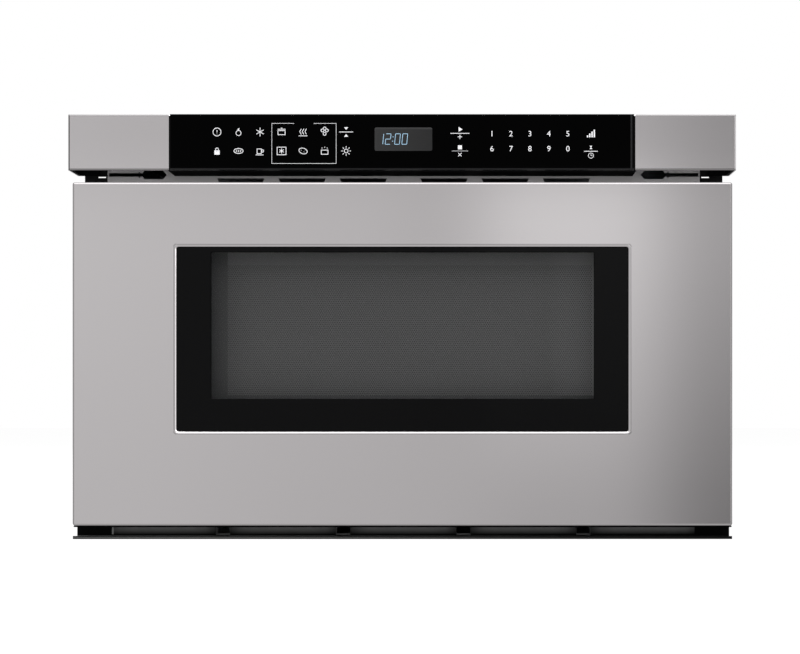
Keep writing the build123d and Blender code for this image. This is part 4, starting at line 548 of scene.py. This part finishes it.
def finishes():
    """The finish of each material slot in the record."""
    front = bpy.context.scene.drawer_finish
    return {
        "stainless": brushed_steel("brushed_front_steel", front.steel, front.steel_roughness),
        "coated_steel": zinc_sheet("zinc_coated_sheet", (0.56, 0.575, 0.59), 0.34),
        "black_metal": painted("black_powder_coat", (0.008, 0.008, 0.0085), 0.36, shine=0.12),
        "black_moulding": moulded("black_moulding", (0.006, 0.006, 0.0065), 0.34, shine=0.12),
        "touch_glass": panel_glass(),
        "window_glass": window_glass(front.window_cover),
        "screen_steel": perforated_screen(front.hole_pitch),
        "cavity_coat": cavity_enamel(),
        "choke_steel": painted("dark_choke_coat", (0.055, 0.055, 0.058), 0.42, 700.0),
        "grey_moulding": moulded("grey_moulding", (0.22, 0.22, 0.23), 0.45),
        "mica": mica_sheet(),
        "ceramic": ceramic_plate(),
        "tub_steel": brushed_steel("satin_tub_steel", (0.62, 0.62, 0.625), 0.32, (9.0, 9.0, 1500.0)),
        "slide_zinc": zinc_sheet("bright_zinc", (0.66, 0.67, 0.69), 0.24, 260.0),
        "rack_nylon": nylon("rack_nylon", (0.72, 0.70, 0.62)),
        "gear_nylon": nylon("gear_nylon", (0.70, 0.67, 0.60)),
        "shaft_steel": brushed_steel("ground_shaft_steel", (0.58, 0.58, 0.59), 0.22, (2200.0, 30.0, 30.0)),
        "core_iron": laminations(),
        "copper": copper_winding(),
        "aluminium": brushed_steel("bare_aluminium", (0.74, 0.75, 0.76), 0.36, (60.0, 60.0, 900.0)),
        "circuit_board": circuit_board(),
        "display": display_face(),
        "motor_can": painted("plated_motor_case", (0.36, 0.37, 0.38), 0.34, 500.0, 1e-5, 0.3),
        "white_moulding": moulded("white_moulding", (0.74, 0.74, 0.71), 0.40),
        "rubber": rubber(),
        "lamp_glass": lamp_glass(),
        "screw_steel": zinc_sheet("screw_plating", (0.60, 0.60, 0.61), 0.26, 900.0),
    }


# ---- modelling helpers ----

def start_clean():
    """Nothing selected, in object mode."""
    if bpy.context.object and bpy.context.object.mode != "OBJECT":
        bpy.ops.object.mode_set(mode="OBJECT")
    bpy.ops.object.select_all(action="DESELECT")


def take(piece):
    """Select one object alone and make it active."""
    start_clean()
    piece.select_set(True)
    bpy.context.view_layer.objects.active = piece
    return piece


def named(piece, name):
    """Give a piece and its mesh one name."""
    piece.name = name
    piece.data.name = name
    return piece


def settle(piece):
    """Put a piece's place, turn and scale into its mesh."""
    take(piece)
    bpy.ops.object.transform_apply(location=True, rotation=True, scale=True)
    return piece


def joined(pieces, name):
    """One object out of several, named."""
    start_clean()
    for piece in pieces:
        piece.select_set(True)
    bpy.context.view_layer.objects.active = pieces[0]
    bpy.ops.object.join()
    return named(bpy.context.object, name)


def select_faces(piece, wanted=lambda polygon: True):
    """Select the faces that pass a test, or all of them, and go on in edit mode."""
    take(piece)
    bpy.ops.object.mode_set(mode="EDIT")
    bpy.ops.mesh.select_mode(type="FACE")
    bpy.ops.mesh.select_all(action="DESELECT")
    bpy.ops.object.mode_set(mode="OBJECT")
    for polygon in piece.data.polygons:
        polygon.select = wanted(polygon)
    bpy.ops.object.mode_set(mode="EDIT")


def laid(width, height, turn):
    """Turn the new flat piece towards the viewer and give it its size."""
    piece = bpy.context.object
    piece.rotation_euler = (math.pi / 2, turn, 0)
    piece.scale = (width, height, 1)
    return settle(piece)


def printed_bar(x, z, width, height, turn=0.0):
    """Flat bar lying on the touch glass, turned about the depth axis."""
    start_clean()
    bpy.ops.mesh.primitive_plane_add(size=1, location=(x, GLASS_LOW.y, z))
    return laid(width, height, turn)


def printed_disc(x, z, width, height, corners=24, turn=0.0):
    """Flat disc or polygon lying on the touch glass."""
    start_clean()
    bpy.ops.mesh.primitive_circle_add(vertices=corners, radius=0.5, fill_type="NGON",
                                      location=(x, GLASS_LOW.y, z))
    return laid(width, height, turn)


def printed_ring(x, z, width, height, line, corners=24, turn=0.0):
    """Flat outline of a disc or polygon on the touch glass."""
    ring = printed_disc(x, z, width, height, corners, turn)
    select_faces(ring)
    bpy.ops.mesh.inset(thickness=line, depth=0)
    bpy.ops.mesh.delete(type="FACE")
    bpy.ops.object.mode_set(mode="OBJECT")
    return ring


def printed_frame(x, z, width, height, line, opening=0.0):
    """Thin rectangle outline, with or without an opening in the middle of its top side."""
    across = (width - line) / 2
    up = (height - line) / 2
    if opening:
        run = (width - opening) / 2
        beside = (opening + run) / 2
        flat = [printed_bar(x, z - up, width, line), printed_bar(x - beside, z + up, run, line),
                printed_bar(x + beside, z + up, run, line)]
    else:
        flat = [printed_bar(x, z + up, width, line), printed_bar(x, z - up, width, line)]
    return flat + [printed_bar(x - across, z, line, height - 2 * line),
                   printed_bar(x + across, z, line, height - 2 * line)]


def pressed_on(piece, thickness, material):
    """Give a flat print its thickness, its finish and its body."""
    take(piece)
    bpy.ops.object.mode_set(mode="EDIT")
    bpy.ops.mesh.select_all(action="SELECT")
    bpy.ops.mesh.remove_doubles(threshold=1e-6)
    bpy.ops.mesh.normals_make_consistent(inside=False)
    bpy.ops.object.mode_set(mode="OBJECT")
    solid = piece.modifiers.new("thickness", "SOLIDIFY")
    solid.thickness = thickness
    solid.offset = 0
    bpy.ops.object.modifier_apply(modifier=solid.name)
    dress(piece, material)
    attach(piece, "chassis")


def dress(piece, material):
    """Give a piece one material all over."""
    piece.data.materials.clear()
    piece.data.materials.append(material)


# ---- signs for the keys ----

THIN = -1  # a width or height below zero is counted in printed lines
TURN_45 = math.radians(45)


def star(height):
    """Three bars that cross in a star of six points."""
    return tuple(("bar", 0, 0, THIN, height, math.radians(turn)) for turn in (0, 60, 120))


# Each sign's marks: how one is drawn, its place and size in shares of the sign's height, and what else
# that takes: a bar's turn, or the corners and the turn of a disc or ring.
SIGNS = {
    "help": (("ring", 0, 0, 1, 1), ("disc", 0, -0.22, THIN, THIN, 12), ("bar", 0, 0.08, THIN, 0.28)),
    "drop": (("ring", 0, -0.12, 0.66, 0.66), ("disc", 0, 0.30, 0.26, 0.40, 3, math.pi / 6)),
    "flake": star(1),
    "pot": (("frame", 0, -0.08, 0.9, 0.55), ("bar", 0, 0.32, 0.9, THIN), ("bar", 0, 0.44, 0.22, THIN)),
    "heat": (("bar", 0, -0.45, 1, THIN),) + tuple(
        ("bar", x, z, THIN, 0.36, turn) for x in (-0.30, 0, 0.30)
        for z, turn in ((0.20, 0.5), (-0.12, -0.5))),
    "kernels": tuple(("ring", x, z, 0.42, 0.42, 12)
                     for x, z in ((-0.25, 0.18), (0.25, 0.18), (0.0, -0.22), (0.0, 0.40))),
    "slide": (("disc", 0, 0.45, 0.55, 0.40, 3, math.pi), ("disc", 0, -0.45, 0.55, 0.40, 3),
              ("bar", 0, 0, 1.6, THIN)),
    "lock": (("bar", 0, -0.18, 0.62, 0.50), ("ring", 0, 0.14, 0.42, 0.50, 16)),
    "loaf": tuple(("bar", x, 0, THIN, 0.32, 0.4) for x in (-0.24, 0, 0.24)) + (
        ("ring", 0, 0, 1.15, 0.66),),
    "cup": (("frame", -0.10, -0.04, 0.56, 0.62), ("ring", 0.30, 0, 0.30, 0.36, 12),
            ("bar", -0.05, -0.46, 0.9, THIN)),
    "frozen": star(0.6) + (("frame", 0, 0, 1.1, 0.95),),
    "potato": tuple(("disc", x, z, THIN, THIN, 8) for x, z in (
        (-0.22, 0.08), (0.10, -0.10), (0.24, 0.12))) + (("ring", 0, 0, 1.05, 0.72, 24, 0.3),),
    "steam": tuple(("disc", x, z, -1.4, -1.4, 8) for x, z in ((-0.3, 0.34), (0, 0.44), (0.3, 0.34))) + (
        ("frame", 0, -0.14, 0.85, 0.55),),
    "warm": tuple(("bar", 0.47 * math.cos(step * TURN_45), 0.47 * math.sin(step * TURN_45), 0.18, THIN,
                   -step * TURN_45) for step in range(8)) + (("ring", 0, 0, 0.52, 0.52, 20),),
    "start": (("disc", 0, 0.45, 0.62, 0.62, 3, math.pi / 2), ("bar", 0, -0.02, 2.2, THIN),
              ("bar", 0, -0.42, 0.5, THIN), ("bar", 0, -0.42, THIN, 0.5)),
    "stop": (("bar", 0, 0.42, 0.46, 0.46), ("bar", 0, 0, 1.9, -0.5),
             ("bar", 0, -0.42, 0.56, THIN, TURN_45), ("bar", 0, -0.42, 0.56, THIN, -TURN_45)),
    "power": tuple(("bar", (step - 1.5) * 0.26, 0.11 * (step + 1) - 0.4, 0.16, 0.22 * (step + 1))
                   for step in range(4)),
    "clock": (("disc", 0, 0.56, 0.36, 0.30, 3, math.pi), ("disc", 0, 0.34, 0.36, 0.30, 3),
              ("bar", 0, 0, 1.6, THIN), ("fine ring", 0, -0.50, 0.66, 0.66, 20),
              ("bar", 0, -0.42, -0.8, 0.20), ("bar", 0.08, -0.50, 0.18, -0.8)),
}


def printed_sign(name, x, z, size, line):
    """The marks of one sign, drawn about its centre."""
    marks = []
    for kind, across, up, width, height, *rest in SIGNS[name]:
        place = (x + across * size, z + up * size)
        extent = [side * size if side > 0 else -side * line for side in (width, height)]
        if kind == "bar":
            marks.append(printed_bar(*place, *extent, *rest))
        elif kind == "disc":
            marks.append(printed_disc(*place, *extent, *rest))
        elif kind == "frame":
            marks += printed_frame(*place, *extent, line)
        else:
            marks.append(printed_ring(*place, *extent, line * (0.8 if kind == "fine ring" else 1), *rest))
    return marks


# ---- one operator for each piece or group of like pieces ----

class DRAWER_OT_finish_nodes(bpy.types.Operator):
    """Give every CAD node the finish of its material slot"""
    bl_idname = "drawer.finish_nodes"
    bl_label = "Finish the CAD pieces"

    def execute(self, context):
        made = finishes()
        nodes = frame["nodes"]
        for row in frame["record"]["subparts"]:
            dress(nodes[row["node"]], made[row["material_slot"]])
        front = context.scene.drawer_finish
        fold = 1.6 * MM  # rounded edge of a panel end
        shadow_line = 1.4 * MM  # darker line along the door's edges
        top_line = 0.6 * MM
        far = 1.0  # past any edge
        # painted shade: the panel ends' rounded edges and thin lines along the door's edges are darker in
        # colour
        ends = brushed_steel("brushed_panel_ends", front.steel, front.steel_roughness,
                             back=ENDS_LOW.y + 1.1 * MM,
                             bands=(("X", -far, ENDS_LOW.x + fold, 0.28),
                                    ("X", ENDS_HIGH.x - fold, far, 0.50),
                                    ("Z", ENDS_HIGH.z - fold, far, 0.42),
                                    ("Z", 0.0, ENDS_LOW.z + fold, 0.50)))
        door = brushed_steel("brushed_door_skin", front.steel, front.steel_roughness,
                             back=DOOR_LOW.y + 0.4 * MM,
                             bands=(("X", -far, DOOR_LOW.x + shadow_line, 0.68),
                                    ("X", DOOR_HIGH.x - shadow_line, far, 0.36),
                                    ("Z", DOOR_HIGH.z - top_line, far, 0.45),
                                    ("Z", 0.0, DOOR_LOW.z + shadow_line, 0.80)))
        dress(nodes["panel_ends"], ends)
        dress(nodes["door_skin"], door)
        dress(nodes["intake_trim"], trim_paint())
        # painted light: the louvre's steel is a lighter copy of the front steel, to brighten it in the shade
        # under the panel
        dress(nodes["exhaust_louvre"], brushed_steel("brushed_strip_steel", (0.80, 0.785, 0.79), 0.5))
        dress(nodes["panel_frame"], moulded("panel_carrier", (0.004, 0.004, 0.0045), 0.75, shine=0.03))
        return {"FINISHED"}


class DRAWER_OT_window_hem(bpy.types.Operator):
    """Roll the steel edge round the door's window"""
    bl_idname = "drawer.window_hem"
    bl_label = "Window hem"

    def execute(self, context):
        front = context.scene.drawer_finish
        fit = 0.2 * MM  # cut edge to glass
        lap = 3.4 * MM  # flat part of the hem beyond the cut edge
        proud = 0.06 * MM  # hem in front of the door's face
        corner = 5.6 * MM
        inner_wall = 0.6 * MM  # depth of the roll's inner wall
        sheet = 0.05 * MM
        painted_shadow_low, painted_shadow_high = 1.6 * MM, 2.4 * MM  # where its darker line lies
        # inset and drop of each step of the roll, from the outside in
        steps = ((1.0, 0.0), (0.8, 0.0), (0.4, 0.14), (0.4, 0.20), (0.4, 0.28), (0.4, 0.40))
        half_x = WINDOW_HIGH.x + fit
        middle_z = (WINDOW_LOW.z + WINDOW_HIGH.z) / 2
        half_z = WINDOW_HIGH.z + fit - middle_z
        start_clean()
        bpy.ops.mesh.primitive_plane_add(size=2, location=(0, DOOR_LOW.y - proud, middle_z),
                                         rotation=FACING)
        hem = context.object
        hem.scale = (half_x + lap, half_z + lap, 1)
        settle(hem)
        select_faces(hem)
        bpy.ops.mesh.bevel(offset=corner, segments=8, affect="VERTICES")
        bpy.ops.mesh.select_all(action="SELECT")
        for inset, drop in steps:
            bpy.ops.mesh.inset(thickness=inset * MM, depth=-drop * MM)
        bpy.ops.mesh.extrude_region_move(TRANSFORM_OT_translate={"value": (0, inner_wall, 0)})
        bpy.ops.mesh.delete(type="FACE")
        bpy.ops.object.mode_set(mode="OBJECT")
        wall = hem.modifiers.new("thickness", "SOLIDIFY")
        wall.thickness = sheet
        wall.offset = -1
        bpy.ops.object.modifier_apply(modifier=wall.name)
        named(hem, "window_hem")
        dress(hem, brushed_steel("brushed_hem", front.steel, front.steel_roughness))
        # painted shadow: a darker copy of the steel paints a thin line on the hem's flat part
        line = [channel * 0.66 for channel in front.steel]
        hem.data.materials.append(brushed_steel("hem_painted_shadow", line, front.steel_roughness))
        for polygon in hem.data.polygons:
            beyond = max(abs(polygon.center.x) - half_x, abs(polygon.center.z - middle_z) - half_z)
            polygon.material_index = 1 if painted_shadow_low < beyond < painted_shadow_high else 0
        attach(hem, "drawer")
        return {"FINISHED"}


class DRAWER_OT_number_keys(bpy.types.Operator):
    """Print the figures of the ten number keys"""
    bl_idname = "drawer.number_keys"
    bl_label = "Number keys"

    def execute(self, context):
        legend = context.scene.drawer_legend
        cap_share = 0.73  # height of a figure in the font's size
        first_x = 81.5 * MM
        rows = ((367.9 * MM, "12345"), (354.3 * MM, "67890"))
        figures = []
        for z, keys in rows:
            for place, key in enumerate(keys):
                start_clean()
                bpy.ops.object.text_add(location=(first_x + place * legend.figure_pitch, GLASS_LOW.y, z),
                                        rotation=FACING)
                figure = context.object
                figure.data.body = key
                figure.data.size = legend.figure_height / cap_share
                figure.data.align_x = "CENTER"
                figure.data.align_y = "CENTER"
                figure.data.resolution_u = 4
                bpy.ops.object.convert(target="MESH")
                figures.append(settle(context.object))
        pressed_on(joined(figures, "number_keys"), legend.ink_thickness,
                   printed_ink(legend.ink))
        return {"FINISHED"}


class DRAWER_OT_key_signs(bpy.types.Operator):
    """Print the picture signs of the other keys and the group outline"""
    bl_idname = "drawer.key_signs"
    bl_label = "Key signs"

    def execute(self, context):
        legend = context.scene.drawer_legend
        size = legend.sign_height
        line = legend.line_width
        first_x = -167.6 * MM
        pitch = 19.5 * MM
        rows = ((369.7 * MM, ("help", "drop", "flake", "pot", "heat", "kernels", "slide")),
                (352.5 * MM, ("lock", "loaf", "cup", "frozen", "potato", "steam", "warm")))
        places = [(sign, first_x + step * pitch, z) for z, signs in rows for step, sign in enumerate(signs)]
        places += [("start", 52.5 * MM, 368.6 * MM), ("stop", 52.5 * MM, 352.5 * MM),
                   ("power", 171.2 * MM, 368.0 * MM), ("clock", 171.2 * MM, 352.2 * MM)]
        flat = []
        for sign, x, z in places:
            flat += printed_sign(sign, x, z, size, line)
        outline_x = -88.8 * MM
        outline_z = 359.3 * MM
        outline_width, outline_height, opening = 58.6 * MM, 36.6 * MM, 17.6 * MM
        thin = line * 0.55  # the outline's own line
        flat += printed_frame(outline_x, outline_z, outline_width, outline_height, thin, opening)
        pressed_on(joined(flat, "key_signs"), legend.ink_thickness,
                   printed_ink(legend.ink))
        return {"FINISHED"}


class DRAWER_OT_clock_figures(bpy.types.Operator):
    """Light the clock's seven-bar figures"""
    bl_idname = "drawer.clock_figures"
    bl_label = "Clock figures"

    def execute(self, context):
        legend = context.scene.drawer_legend
        lit_bars = {"0": "abcdef", "1": "bc", "2": "abged"}
        height = legend.clock_height
        width = height * 0.465
        bar = height * 0.054
        slant = 0.10  # sideways lean per unit of height
        figure_step = height * 0.695
        colon_gap = height * 0.20
        left = -21.4 * MM
        middle_z = 363.3 * MM
        half = height / 2
        places = {"a": (0, half, True), "g": (0, 0, True), "d": (0, -half, True),
                  "b": (width / 2, half / 2, False), "c": (width / 2, -half / 2, False),
                  "f": (-width / 2, half / 2, False), "e": (-width / 2, -half / 2, False)}
        dot = bar * 1.8  # the colon's two dots
        dot_rise = half * 0.42
        bars = []
        x = left + width / 2
        for figure in "12:00":
            if figure == ":":
                for rise in (dot_rise, -dot_rise):
                    bars.append(printed_disc(x - (figure_step - colon_gap) / 2 + rise * slant,
                                             middle_z + rise, dot, dot, 12))
                x += colon_gap
                continue
            for name in lit_bars[figure]:
                dx, dz, lies = places[name]
                shape = (width - bar / 2, bar, 0) if lies else (bar, half - bar / 2, slant)
                bars.append(printed_bar(x + dx + dz * slant, middle_z + dz, *shape))
            x += figure_step
        pressed_on(joined(bars, "clock_figures"), legend.ink_thickness,
                   lit_figures(legend.lit))
        return {"FINISHED"}


def cylinder(corners, radius, low, high):
    """Cylinder or prism standing on Z between two heights."""
    start_clean()
    bpy.ops.mesh.primitive_cylinder_add(vertices=corners, radius=radius, depth=high - low,
                                        location=(0, 0, (low + high) / 2))
    return settle(bpy.context.object)


def recess(head, steps, depth):
    """Sink the middle of a head, after insets that each rise by their own amount."""
    select_faces(head, lambda polygon: polygon.normal.z > 0.9)
    for inset, rise in steps:
        bpy.ops.mesh.inset(thickness=inset, depth=0)
        if rise:
            bpy.ops.transform.translate(value=(0, 0, rise))
    bpy.ops.mesh.extrude_region_move(TRANSFORM_OT_translate={"value": (0, 0, -depth)})
    bpy.ops.object.mode_set(mode="OBJECT")


def sheet_screw():
    """One hexagon-head sheet-metal screw with its pressed washer."""
    washer = cylinder(16, 4.2 * MM, 0.0, 0.9 * MM)
    head = cylinder(6, 3.2 * MM, 0.9 * MM, 3.3 * MM)
    recess(head, ((0.9 * MM, 0),), 0.7 * MM)
    return joined([washer, head], "sheet_screw")


def pan_bolt():
    """One pan-head bolt with a recess."""
    head = cylinder(20, 3.9 * MM, 0.0, 2.0 * MM)
    recess(head, ((0.7 * MM, 0.6 * MM), (1.5 * MM, 0)), 1.2 * MM)
    return named(head, "pan_bolt")


def spread(first, places, name, body, material, slot):
    """Copies of one fastener at each place, pointing along its direction, as one piece."""
    copies = []
    for where, direction in places:
        copy = first.copy()
        copy.data = first.data.copy()
        bpy.context.scene.collection.objects.link(copy)
        copy.rotation_euler = Vector(direction).to_track_quat("Z", "Y").to_euler()
        copy.location = where
        copies.append(settle(copy))
    bpy.data.objects.remove(first)
    made = joined(copies, name)
    dress(made, material)
    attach(made, body)


class DRAWER_OT_chassis_screws(bpy.types.Operator):
    """Screw the chassis together: back plate, sides and top cover"""
    bl_idname = "drawer.chassis_screws"
    bl_label = "Chassis screws"

    def execute(self, context):
        inset = 6.5 * MM  # screws from the sheet's edge
        lower = 1 * MM  # the sides' upper row below the rear's
        rear_x = (-0.262, -0.130, 0.0, 0.130, 0.262)
        side_y = (-0.215, -0.080, 0.060, 0.200)
        rear_middle_z = 0.185
        rear_y = BACK_HIGH.y
        places = [((x, rear_y, z), (0, 1, 0)) for x in rear_x for z in (inset, BACK_HIGH.z - inset)]
        for side in (-1, 1):
            places.append(((side * (BACK_HIGH.x - inset), rear_y, rear_middle_z), (0, 1, 0)))
            places += [((side * SIDE_HIGH.x, y, z), (side, 0, 0)) for y in side_y
                       for z in (inset, SIDE_HIGH.z - inset - lower)]
        spread(sheet_screw(), places, "chassis_screws", "chassis",
               zinc_sheet("sheet_screw_plating", (0.60, 0.60, 0.61), 0.28, 800.0), "screw_steel")
        return {"FINISHED"}


class DRAWER_OT_drawer_bolts(bpy.types.Operator):
    """Bolt the support arms and the racks to the drawer"""
    bl_idname = "drawer.drawer_bolts"
    bl_label = "Drawer bolts"

    def execute(self, context):
        foot_back_y = ARM_LOW.y + 2.0 * MM
        foot_x = 0.2660
        places = [((side * foot_x, foot_back_y, z), (0, 1, 0)) for side in (-1, 1)
                  for z in (0.095, 0.130, 0.180)]
        spread(pan_bolt(), places, "drawer_bolts", "drawer",
               zinc_sheet("bolt_plating", (0.62, 0.62, 0.63), 0.25, 900.0), "screw_steel")
        return {"FINISHED"}


class DRAWER_OT_studio(bpy.types.Operator):
    """Set the floor, lamps, reflecting cards, world and camera"""
    bl_idname = "drawer.studio"
    bl_label = "Studio"

    def execute(self, context):
        studio = context.scene.drawer_studio
        scene = context.scene
        start_clean()
        under = 0.3 * MM  # floor below the trim's foot
        floor_side = 14
        bpy.ops.mesh.primitive_plane_add(size=floor_side, location=(0, 0, -under))
        floor = bpy.context.object
        floor.name = "studio_floor"
        dress(floor, floor_paper())
        floor.visible_glossy = False

        centre_x, centre_z = studio.view_centre
        eye_x = centre_x + studio.camera_aside
        eye_z = centre_z - studio.camera_drop
        card_y = -3.0
        reach = (DOOR_LOW.y - card_y) / (DOOR_LOW.y - GLASS_LOW.y + studio.camera_distance)
        card("front_card", (0, card_y, 1.0), 90, 0, (3.6, 3.2),
             card_light("front_card_light", eye_x, eye_z, reach))
        card("upper_card", (0, -2.3, 2.9), 50, 0, (4.0, 1.6), plain_light("upper_card_light", 1.35))
        card("side_card", (2.6, -2.2, 0.8), 90, 50, (2.4, 3.0), plain_light("side_card_light", 1.2))

        power = studio.lamp_power
        lamp("top_lamp", (0.0, -0.5, 2.2), 0, 0, (2.4, 2.0), 26 * power)
        left = lamp("left_lamp", (-2.0, -1.4, 1.2), 68, -55, (1.4, 1.4), 16 * power)
        left.visible_glossy = False
        lamp("right_lamp", (2.0, -1.2, 1.2), 68, 58, (1.4, 1.4), 12 * power)
        lamp("rear_lamp", (0.0, 2.2, 1.4), -60, 0, (1.8, 1.2), 14 * power)

        reflected = 0.58  # strength of the white world to all but the camera
        world = bpy.data.worlds.new("studio_world")
        scene.world = world
        world.use_nodes = True
        wiring = Wiring(world.node_tree)
        sky = wiring.nodes["Background"].inputs
        wiring.feed(sky["Color"], WHITE)
        seen = wiring.value("ShaderNodeLightPath", output="Is Camera Ray")
        wiring.feed(sky["Strength"], seen * (1 - reflected) + reflected)

        view = studio.frame_width
        eye = bpy.data.cameras.new("studio_camera")
        camera = bpy.data.objects.new("studio_camera", eye)
        scene.collection.objects.link(camera)
        scene.camera = camera
        camera.location = (eye_x, GLASS_LOW.y - studio.camera_distance, eye_z)
        camera.rotation_euler = FACING
        eye.sensor_width = 36.0
        eye.lens = eye.sensor_width * studio.camera_distance / view
        eye.shift_x = -studio.camera_aside / view
        eye.shift_y = studio.camera_drop / view
        eye.clip_start = 0.05
        scene.view_settings.view_transform = "Standard"
        return {"FINISHED"}


def aimed(piece, place, tilt, heading):
    """Put a lamp or card in its place, tilted up from facing down and turned, in degrees."""
    piece.location = place
    piece.rotation_euler = (math.radians(tilt), 0, math.radians(heading))


def lamp(name, place, tilt, heading, size, power):
    """One soft rectangular lamp."""
    light = bpy.data.lights.new(name, "AREA")
    light.shape = "RECTANGLE"
    light.size, light.size_y = size
    light.energy = power
    holder = bpy.data.objects.new(name, light)
    bpy.context.scene.collection.objects.link(holder)
    aimed(holder, place, tilt, heading)
    holder.visible_camera = False
    return holder


def card(name, place, tilt, heading, size, material):
    """One glowing card that only reflections see."""
    start_clean()
    bpy.ops.mesh.primitive_plane_add(size=1)
    made = bpy.context.object
    made.name = name
    made.scale = (*size, 1)
    aimed(made, place, tilt, heading)
    settle(made)
    made.visible_camera = False
    made.visible_diffuse = False
    made.visible_shadow = False
    dress(made, material)


def card_light(name, eye_x, eye_z, reach):
    """Glow of the front card, laid out by the point of the front that mirrors it to the camera."""
    finish = Finish(name, BLACK, 1.0)
    door_foot, door_top, panel_foot = 0.030, 0.310, 0.320
    upper_zone, upper_glow = 1.25, (1.6, 1.6, 1.6)
    front_x = (finish.axis("X") + eye_x * reach) / (1 + reach)
    front_z = (finish.axis("Z") + eye_z * reach) / (1 + reach)
    across = front_x / FRONT_SPAN + 0.5
    top = finish.ramp(across, *DOOR_TOP_BANDS)
    foot = finish.ramp(across, *DOOR_FOOT_BANDS)
    panel = finish.ramp(across, *PANEL_BANDS)
    rise = finish.ramp((front_z - door_foot) / (door_top - door_foot))
    above = finish.ramp((front_z - panel_foot) / (20 * MM))
    over = finish.ramp(finish.axis("Z") - upper_zone, (0.0, 0.0), (0.25, 1.0))
    bands = finish.mix(over, finish.mix(above, finish.mix(rise, foot, top), panel), upper_glow)
    return finish.shown(finish.glow(bands, 1.0))


def plain_light(name, strength):
    """Even white glow."""
    finish = Finish(name, BLACK, 1.0)
    return finish.shown(finish.glow(WHITE, strength))


def floor_paper():
    """White paper floor that keeps the object's shadow and is white to the camera."""
    finish = Finish("studio_paper", (0.86, 0.86, 0.86), 0.9)
    even_share, even_strength = 0.72, 1.17  # of the even glow in what the camera sees
    seen = finish.value("ShaderNodeLightPath", output="Is Camera Ray") * even_share
    paper = Value(finish, finish.surface.outputs[0])
    glow = finish.glow(WHITE, even_strength)
    return finish.shown(finish.value("ShaderNodeMixShader", {0: seen, 1: paper, 2: glow}))


class DRAWER_PT_panel(bpy.types.Panel):
    """Lists the drawer's pieces"""
    bl_idname = "DRAWER_PT_panel"
    bl_label = "Microwave Drawer"
    bl_space_type = "VIEW_3D"
    bl_region_type = "UI"
    bl_category = "Drawer"

    def draw(self, context):
        for group in (getattr(context.scene, name) for name in SETTINGS):
            for name in group.__annotations__:
                self.layout.prop(group, name)
        for operator in OPERATORS:
            self.layout.operator(operator.bl_idname)


SETTINGS = {"drawer_legend": LegendSettings, "drawer_finish": FinishSettings,
            "drawer_studio": StudioSettings}
OPERATORS = (DRAWER_OT_finish_nodes, DRAWER_OT_window_hem, DRAWER_OT_number_keys, DRAWER_OT_key_signs,
             DRAWER_OT_clock_figures, DRAWER_OT_chassis_screws, DRAWER_OT_drawer_bolts, DRAWER_OT_studio)
CLASSES = (*SETTINGS.values(), *OPERATORS, DRAWER_PT_panel)


def register():
    """Register the settings, the operators and the panel."""
    for item in CLASSES:
        bpy.utils.register_class(item)
    for name, group in SETTINGS.items():
        setattr(bpy.types.Scene, name, bpy.props.PointerProperty(type=group))


def unregister():
    """Take everything back out."""
    for name in SETTINGS:
        delattr(bpy.types.Scene, name)
    for item in reversed(CLASSES):
        bpy.utils.unregister_class(item)


def main():
    """Register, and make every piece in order."""
    register()
    bpy.ops.drawer.finish_nodes()
    bpy.ops.drawer.window_hem()
    bpy.ops.drawer.number_keys()
    bpy.ops.drawer.key_signs()
    bpy.ops.drawer.clock_figures()
    bpy.ops.drawer.chassis_screws()
    bpy.ops.drawer.drawer_bolts()
    bpy.ops.drawer.studio()


if __name__ == "__main__":
    main()
